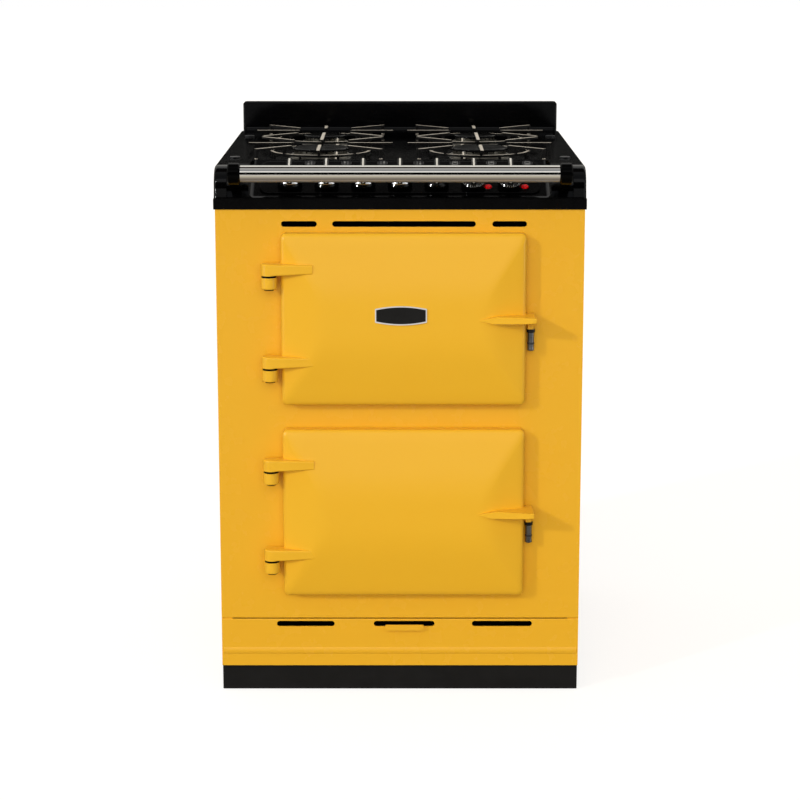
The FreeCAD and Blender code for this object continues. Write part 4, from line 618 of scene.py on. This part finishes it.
def burner_sign(knob_number, base):
    """Four dots in a square, the one of this knob's burner large."""
    dots = []
    for corner, (x, y) in enumerate(((-1, -1), (-1, 1), (1, 1), (1, -1))):
        wide = large_dot if corner == knob_number else small_dot
        outline = [(0, 0), (wide, 0), (wide, ink_thick), (0, ink_thick)]
        here = Matrix.Translation((x * dot_place, y * dot_place, disc_face))
        dots.append(lathe(outline, small_steps, base @ here))
    return dots


def oven_sign(level, base):
    """Square outline with a bar across it at the given level."""
    corners = [(x * sign_half, y * sign_half, disc_face)
               for x, y in ((-1, -1), (-1, 1), (1, 1), (1, -1), (-1, -1))]
    lines = []
    for a, b in zip(corners, corners[1:]):
        across = (Vector(b) - Vector(a)).cross(Vector((0, 0, 1)))
        lines.append(bar([a, b], across, sign_line, ink_thick, base))
    ends = [(x * sign_bar_half, level, disc_face) for x in (-1, 1)]
    lines.append(bar(ends, (0, 1, 0), sign_bar_wide, ink_thick, base))
    return lines


def symbol_disc_trim():
    """Raised rim and a small sign on each disc above the knobs."""
    rim = [(7.4, 1.0), (8.0, 0.0), (8.7, 0.1), (8.7, 1.3), (8.2, 1.8), (7.7, 1.8)]
    rims, marks = [], []
    for i, name in enumerate(all_knobs):
        base = on_slope(knob_x(name) + disc_offset, disc_up, fascia_top)
        rims.append(lathe([(r * mm, h * mm) for r, h in rim], ring_steps, base))
        if name in hob_knobs:
            marks += burner_sign(i, base)
        else:
            marks += oven_sign(-sign_bar_level if name == "lower_oven_knob" else sign_bar_level, base)
    piece("symbol_disc_rims", joined(rims), finishes["disc_steel"], "cooker")
    piece("symbol_disc_marks", joined(marks), white_ink, "cooker")


def lamp_bezels():
    """Thin black bezel round each red lamp."""
    ring = [(6.1, 0.1), (7.3, 0.1), (7.3, 0.7), (6.8, 1.2), (6.1, 1.2)]
    bezels = [lathe([(r * mm, h * mm) for r, h in ring], ring_steps,
                    on_slope(knob_x(name) + neon_offset, neon_up, fascia_top)) for name in dial_knobs]
    piece("lamp_bezels", joined(bezels), finishes["knob_black"], "cooker")


def screw(spot, axis, head, tall):
    """Pan-head screw with a cross recess; axis is the way the head faces."""
    facing = Vector(axis).to_track_quat("Z", "Y").to_matrix().to_4x4()
    place = Matrix.Translation(spot) @ facing
    dome = [(0, -tall * 0.6), (head, -tall * 0.6), (head, tall * 0.25), (head * 0.86, tall * 0.7),
            (head * 0.5, tall), (0, tall)]
    shape = lathe(dome, small_steps)
    arms = []
    for turn in (0.0, math.pi / 2):
        arm = bar([(-head * 0.55, 0, tall), (head * 0.55, 0, tall)], (0, 1, 0), head * 0.2, tall * 1.1,
                  Matrix.Rotation(turn, 4, "Z"))
        arms.append(arm)
    return shape, arms, place


def screws(name, spots, axis, body, slot="bright_steel", head=3.4 * mm, tall=2.0 * mm):
    """A set of equal screws, each with its recess cut out."""
    bodies, cutters = [], []
    for spot in spots:
        shape, arms, place = screw(spot, axis, head, tall)
        shape.transform(place)
        bodies.append(shape)
        for arm in arms:
            arm.transform(place)
            cutters.append(arm)
    made = piece(name, joined(bodies), finishes[slot], body)
    mesh = bpy.data.meshes.new(name + "_recess")
    cut_shape = joined(cutters)
    cut_shape.to_mesh(mesh)
    cut_shape.free()
    cutter = bpy.data.objects.new(name + "_recess", mesh)
    bpy.context.scene.collection.objects.link(cutter)
    cut = made.modifiers.new("recess", "BOOLEAN")
    cut.object = cutter
    cut.solver = "EXACT"
    cut.use_self = True
    bpy.context.view_layer.update()
    result = bpy.data.meshes.new_from_object(made.evaluated_get(bpy.context.evaluated_depsgraph_get()))
    made.modifiers.clear()
    made.data = result
    result.shade_smooth()
    result.set_sharp_from_angle(angle=math.radians(crease))
    bpy.data.objects.remove(cutter)
    return made


def back_fittings():
    """Screws of the back panel and terminal box, and the gland's nut."""
    low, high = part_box("back_panel")
    base_inset, edge_inset, inner_x = 20 * mm, 14 * mm, 90 * mm
    rows = [low.z + base_inset, (low.z + high.z) / 2, high.z - edge_inset]
    spots = [(side * (high.x - edge_inset), high.y, z) for side in (-1, 1) for z in rows]
    spots += [(side * inner_x, high.y, z) for side in (-1, 1) for z in (rows[0], rows[2])]
    screws("back_panel_screws", spots, (0, 1, 0), "cooker")
    low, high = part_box("terminal_box")
    inset = 9 * mm
    spots = [(x, high.y, z) for x in (low.x + inset, high.x - inset)
             for z in (low.z + gland_length + inset, high.z - inset)]
    screws("terminal_box_screws", spots, (0, 1, 0), "cooker", head=3.0 * mm)
    gland_nut(Vector(((low.x + high.x) / 2, (low.y + high.y) / 2, low.z)))


def gland_nut(foot):
    """Nut with six rounded corners round the foot of the cable gland."""
    sides, flat, corner, bore_share = 12, 12.4 * mm, 13.8 * mm, 0.62
    heights = (foot.z + 1.0 * mm, foot.z + 9.0 * mm)
    nut = bmesh.new()
    outer, bore = [], []
    for rings, share in ((outer, 1.0), (bore, bore_share)):
        for z in heights:
            ring = []
            for i in range(sides):
                turn = 2 * math.pi * i / sides
                wide = share * (corner if i % 2 else flat)
                x, y = foot.x + wide * math.cos(turn), foot.y + wide * math.sin(turn)
                ring.append(nut.verts.new((x, y, z)))
            rings.append(ring)
    for i in range(sides):
        k = (i + 1) % sides
        nut.faces.new((outer[0][i], outer[0][k], outer[1][k], outer[1][i]))
        nut.faces.new((bore[0][k], bore[0][i], bore[1][i], bore[1][k]))
        nut.faces.new((outer[1][i], outer[1][k], bore[1][k], bore[1][i]))
        nut.faces.new((outer[0][k], outer[0][i], bore[0][i], bore[0][k]))
    bmesh.ops.recalc_face_normals(nut, faces=nut.faces)
    piece("gland_nut", nut, finishes["black_plastic"], "cooker", 0.4 * mm)


def inlet_thread():
    """Pipe thread: a helical ridge round the gas inlet."""
    root, crest, pitch, turns, steps = 10.3 * mm, 10.48 * mm, 1.814 * mm, 7, 32
    start_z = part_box("gas_inlet")[0].z + 0.6 * mm
    section = ((root, -0.42 * pitch), (crest, 0.0), (root, 0.42 * pitch))
    shape = bmesh.new()
    rows = []
    for i in range(turns * steps + 1):
        turn = 2 * math.pi * i / steps
        z = start_z + pitch * i / steps
        rows.append([shape.verts.new((inlet_x + r * math.cos(turn), inlet_y + r * math.sin(turn), z + lift))
                     for r, lift in section])
    for here, there in zip(rows, rows[1:]):
        for j in range(2):
            shape.faces.new((here[j], there[j], there[j + 1], here[j + 1]))
        shape.faces.new((here[2], there[2], there[0], here[0]))
    shape.faces.new(rows[0])
    shape.faces.new(rows[-1])
    bmesh.ops.recalc_face_normals(shape, faces=shape.faces)
    piece("gas_inlet_thread", shape, finishes["bright_steel"], "cooker")


def door_fittings(name):
    """Screws of a door's inner plate, and the collar and band of its latch barrel."""
    body = name + "_door"
    low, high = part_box(name + "_door_liner")
    inset = 12 * mm
    spots = [(x, door_plate_y, z) for x in (low.x + inset, high.x - inset)
             for z in (low.z + inset, (low.z + high.z) / 2, high.z - inset)]
    screws(name + "_door_screws", spots, (0, 1, 0), body, head=3.2 * mm, tall=1.4 * mm)
    low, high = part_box(name + "_door_latch")
    axis = Matrix.Translation(((low.x + high.x) / 2, (low.y + high.y) / 2, high.z))
    collar = [(0, -0.3), (6.4, -0.3), (7.0, -0.9), (7.0, -5.2), (6.4, -5.8), (5.7, -5.8), (0, -5.8)]
    band = [(4.6, -22.0), (5.7, -22.0), (5.9, -22.6), (5.9, -24.4), (5.7, -25.0), (4.6, -25.0)]
    for what, outline, finish in (("collar", collar, finishes["knob_black"]), ("band", band, soft_rubber)):
        shape = lathe([(r * mm, h * mm) for r, h in outline], ring_steps, axis)
        piece(name + "_latch_" + what, shape, finish, body)


def hob_edge_strips():
    """Black sheet that brings the strip between each cheek and the burner well up to the hob's top."""
    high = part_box("hob_top")[1]
    cheek = high.x - cheek_inset - strip_clear
    bay = high.x - bay_inset + 2 * strip_clear
    foot = high.x - foot_inset + strip_clear
    well = high.x - well_inset + strip_clear
    first = math.asin((foot - well + well_corner) / well_corner)
    bend = [min(first + math.pi / 2 * i / 8, math.pi / 2) for i in range(9)]
    arc = [(well - well_corner + well_corner * math.sin(turn), well_corner * (1 - math.cos(turn)))
           for turn in bend]
    plan = [(cheek, strip_front), (bay, strip_front), (bay, slope_end), (foot, slope_end)]
    plan += [(x, well_front + rise) for x, rise in arc]
    plan += [(x, well_back - rise) for x, rise in reversed(arc)]
    plan += [(foot, high.y), (cheek, high.y)]
    heights = (hob_edge - strip_tall + strip_skim, hob_edge - strip_skim)
    for side, name in ((-1, "left"), (1, "right")):
        shape = bmesh.new()
        under, over = [[shape.verts.new((side * x, y, z)) for x, y in plan] for z in heights]
        for j in range(len(plan)):
            k = (j + 1) % len(plan)
            shape.faces.new((under[j], under[k], over[k], over[j]))
        shape.faces.new(under)
        shape.faces.new(over)
        lead = [edge for edge in shape.edges if set(edge.verts) == set(over[:2])]
        bmesh.ops.bevel(shape, geom=lead, offset=strip_lead, segments=5, profile=0.5, affect="EDGES")
        bmesh.ops.recalc_face_normals(shape, faces=shape.faces)
        piece("hob_edge_strip_" + name, shape, finishes["black_enamel"], "cooker",
              smooth_angle=5.0)


def electrode_tips():
    """Bent wire tip on each spark electrode, leaning towards its burner."""
    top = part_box("spark_electrodes")[1].z
    turn = math.radians(electrode_turn)
    tips = []
    for side in (-1, 1):
        away = Vector((-side * math.cos(turn), -math.sin(turn), 0))
        for row, radius in enumerate(crown_radii):
            centre = Vector((side * burner_x, burner_front + burner_pitch * row, 0))
            spot = centre + away * (radius + electrode_gap)
            bend = spot - away * 1.4 * mm
            tip = spot - away * 3.4 * mm
            path = [(spot.x, spot.y, top - 1.5 * mm), (spot.x, spot.y, top - 0.4 * mm), (bend.x, bend.y, top),
                    (tip.x, tip.y, top - 0.1 * mm)]
            tips.append(bar(path, away.cross(Vector((0, 0, 1))), 1.3 * mm, 1.0 * mm))
    piece("electrode_tips", joined(tips), finishes["bright_steel"], "cooker", 0.2 * mm)


for knob_name in hob_knobs:
    knob_collar(knob_name)
for knob_name in all_knobs:
    knob_inlay(knob_name)
for knob_name in dial_knobs:
    dial_marks(knob_name)
symbol_disc_trim()
lamp_bezels()
back_fittings()
inlet_thread()
for door in door_names:
    door_fittings(door)
electrode_tips()
hob_edge_strips()


def as_seen(tree):
    """Which rays look straight at the scene or through glass, and which come off a shiny face."""
    path = add(tree, "ShaderNodeLightPath")
    seen = add(tree, "ShaderNodeMath", {"operation": "MAXIMUM"},
               {0: path.outputs["Is Camera Ray"], 1: path.outputs["Is Transmission Ray"]})
    return seen.outputs["Value"], path.outputs["Is Glossy Ray"]


def floor_finish():
    """White to the camera, pale under the lamps, and in mirrors lighter and darker by its distance."""
    material = bpy.data.materials.new("Pale studio floor")
    material.use_nodes = True
    tree = material.node_tree
    tree.nodes.clear()
    seen, glossy = as_seen(tree)
    strength = add(tree, "ShaderNodeMath", {"operation": "MULTIPLY", 1: floor_glow}, {0: seen})
    white = add(tree, "ShaderNodeEmission", {"Color": linear("#FFFFFF")},
                {"Strength": strength.outputs["Value"]})
    pale = add(tree, "ShaderNodeBsdfDiffuse", {"Color": linear(floor_tone)})
    both = add(tree, "ShaderNodeAddShader", {}, {0: pale.outputs["BSDF"], 1: white.outputs["Emission"]})
    spot = add(tree, "ShaderNodeTexCoord")
    away = add(tree, "ShaderNodeVectorMath", {"operation": "LENGTH"}, {0: spot.outputs["Object"]})
    farthest = floor_stops[-1][0]
    share = add(tree, "ShaderNodeMath", {"operation": "DIVIDE", 1: farthest}, {0: away.outputs["Value"]})
    near_to_far = ramp_through(tree, share.outputs["Value"],
                               [(reach / farthest, code) for reach, code in floor_stops])
    mirrored = add(tree, "ShaderNodeEmission", {"Strength": 1.0}, {"Color": near_to_far.outputs["Color"]})
    either = add(tree, "ShaderNodeMixShader", {},
                 {"Fac": glossy, 1: both.outputs["Shader"], 2: mirrored.outputs["Emission"]})
    add(tree, "ShaderNodeOutputMaterial", {}, {"Surface": either.outputs["Shader"]})
    return material


def studio_floor():
    """Pale floor, wide enough to reach past every view."""
    mesh = bpy.data.meshes.new("floor")
    corners = [(x * floor_reach, y * floor_reach, 0) for x, y in ((-1, -1), (1, -1), (1, 1), (-1, 1))]
    mesh.from_pydata(corners, [], [(0, 1, 2, 3)])
    mesh.materials.append(floor_finish())
    floor = bpy.data.objects.new("floor", mesh)
    bpy.context.scene.collection.objects.link(floor)


def surroundings():
    """White to the camera, a plain light on the object, and bands of light and dark in mirrors."""
    world = bpy.data.worlds.new("Studio")
    bpy.context.scene.world = world
    world.use_nodes = True
    tree = world.node_tree
    tree.nodes.clear()
    seen, glossy = as_seen(tree)
    way = add(tree, "ShaderNodeTexCoord")
    parts = add(tree, "ShaderNodeSeparateXYZ", {}, {"Vector": way.outputs["Generated"]})
    front = add(tree, "ShaderNodeMath", {"operation": "MULTIPLY", 1: -1.0}, {0: parts.outputs["Y"]})
    rise = add(tree, "ShaderNodeMath", {"operation": "ARCTAN2"},
               {0: parts.outputs["Z"], 1: front.outputs["Value"]})
    share = add(tree, "ShaderNodeMath", {"operation": "DIVIDE", 1: math.pi}, {0: rise.outputs["Value"]})
    front_to_back = ramp_through(tree, share.outputs["Value"], band_stops)
    lean = add(tree, "ShaderNodeVectorMath", {"operation": "DOT_PRODUCT", 1: air_lean},
               {0: way.outputs["Generated"]})
    level = add(tree, "ShaderNodeMath", {"operation": "MULTIPLY_ADD", 1: air_swing, 2: air_level},
                {0: lean.outputs["Value"]})
    plain = add(tree, "ShaderNodeBackground", {"Color": linear(air_tone)},
                {"Strength": level.outputs["Value"]})
    mirror = add(tree, "ShaderNodeBackground", {"Strength": 1.0}, {"Color": front_to_back.outputs["Color"]})
    bright = add(tree, "ShaderNodeBackground", {"Color": linear("#FFFFFF"), "Strength": 1.0})
    shiny = add(tree, "ShaderNodeMixShader", {},
                {"Fac": glossy, 1: plain.outputs["Background"], 2: mirror.outputs["Background"]})
    whole = add(tree, "ShaderNodeMixShader", {},
                {"Fac": seen, 1: shiny.outputs["Shader"], 2: bright.outputs["Background"]})
    add(tree, "ShaderNodeOutputWorld", {}, {"Surface": whole.outputs["Shader"]})


def sun_lamp(name, power, spread, way):
    """Sun that shines from the given way, as wide in degrees as its spread."""
    light = bpy.data.lights.new(name, "SUN")
    light.energy = power
    light.angle = math.radians(spread)
    lamp = bpy.data.objects.new(name, light)
    lamp.rotation_euler = Vector(way).to_track_quat("Z", "Y").to_euler()
    bpy.context.scene.collection.objects.link(lamp)
    return lamp


def strip_lamp(name, spot):
    """Tall strip that faces the object and shows only as a glint."""
    light = bpy.data.lights.new(name, "AREA")
    light.shape = "RECTANGLE"
    light.size, light.size_y = strip_lamp_size
    light.energy = strip_lamp_power
    lamp = bpy.data.objects.new(name, light)
    lamp.location = spot
    lamp.visible_diffuse = False
    lamp.rotation_euler = (spot - Vector(strip_lamp_aim)).to_track_quat("Z", "Y").to_euler()
    bpy.context.scene.collection.objects.link(lamp)


def lamps():
    """A low sun from the left, a soft fill from the front that no mirror shows, and a strip at each side."""
    sun_lamp("Key", key_power, key_spread, key_way)
    fill = sun_lamp("Fill", fill_power, fill_spread, fill_way)
    fill.visible_glossy = False
    x, y, z = strip_lamp_spot
    strip_lamp("Strip left", Vector((-x, y, z)))
    strip_lamp("Strip right", Vector((x, y, z)))


def set_camera():
    """Looks down a little at the front, from far enough that the sides stay nearly parallel."""
    lens = bpy.data.cameras.new("Camera")
    lens.lens = camera_lens
    lens.sensor_width = 36.0
    lens.shift_y = camera_shift
    lens.clip_end = 100.0
    camera = bpy.data.objects.new("Camera", lens)
    camera.location = camera_spot
    camera.rotation_euler = (math.radians(90 - camera_tilt), 0, 0)
    bpy.context.scene.collection.objects.link(camera)
    bpy.context.scene.camera = camera


studio_floor()
surroundings()
lamps()
set_camera()
bpy.context.scene.view_settings.view_transform = "Standard"
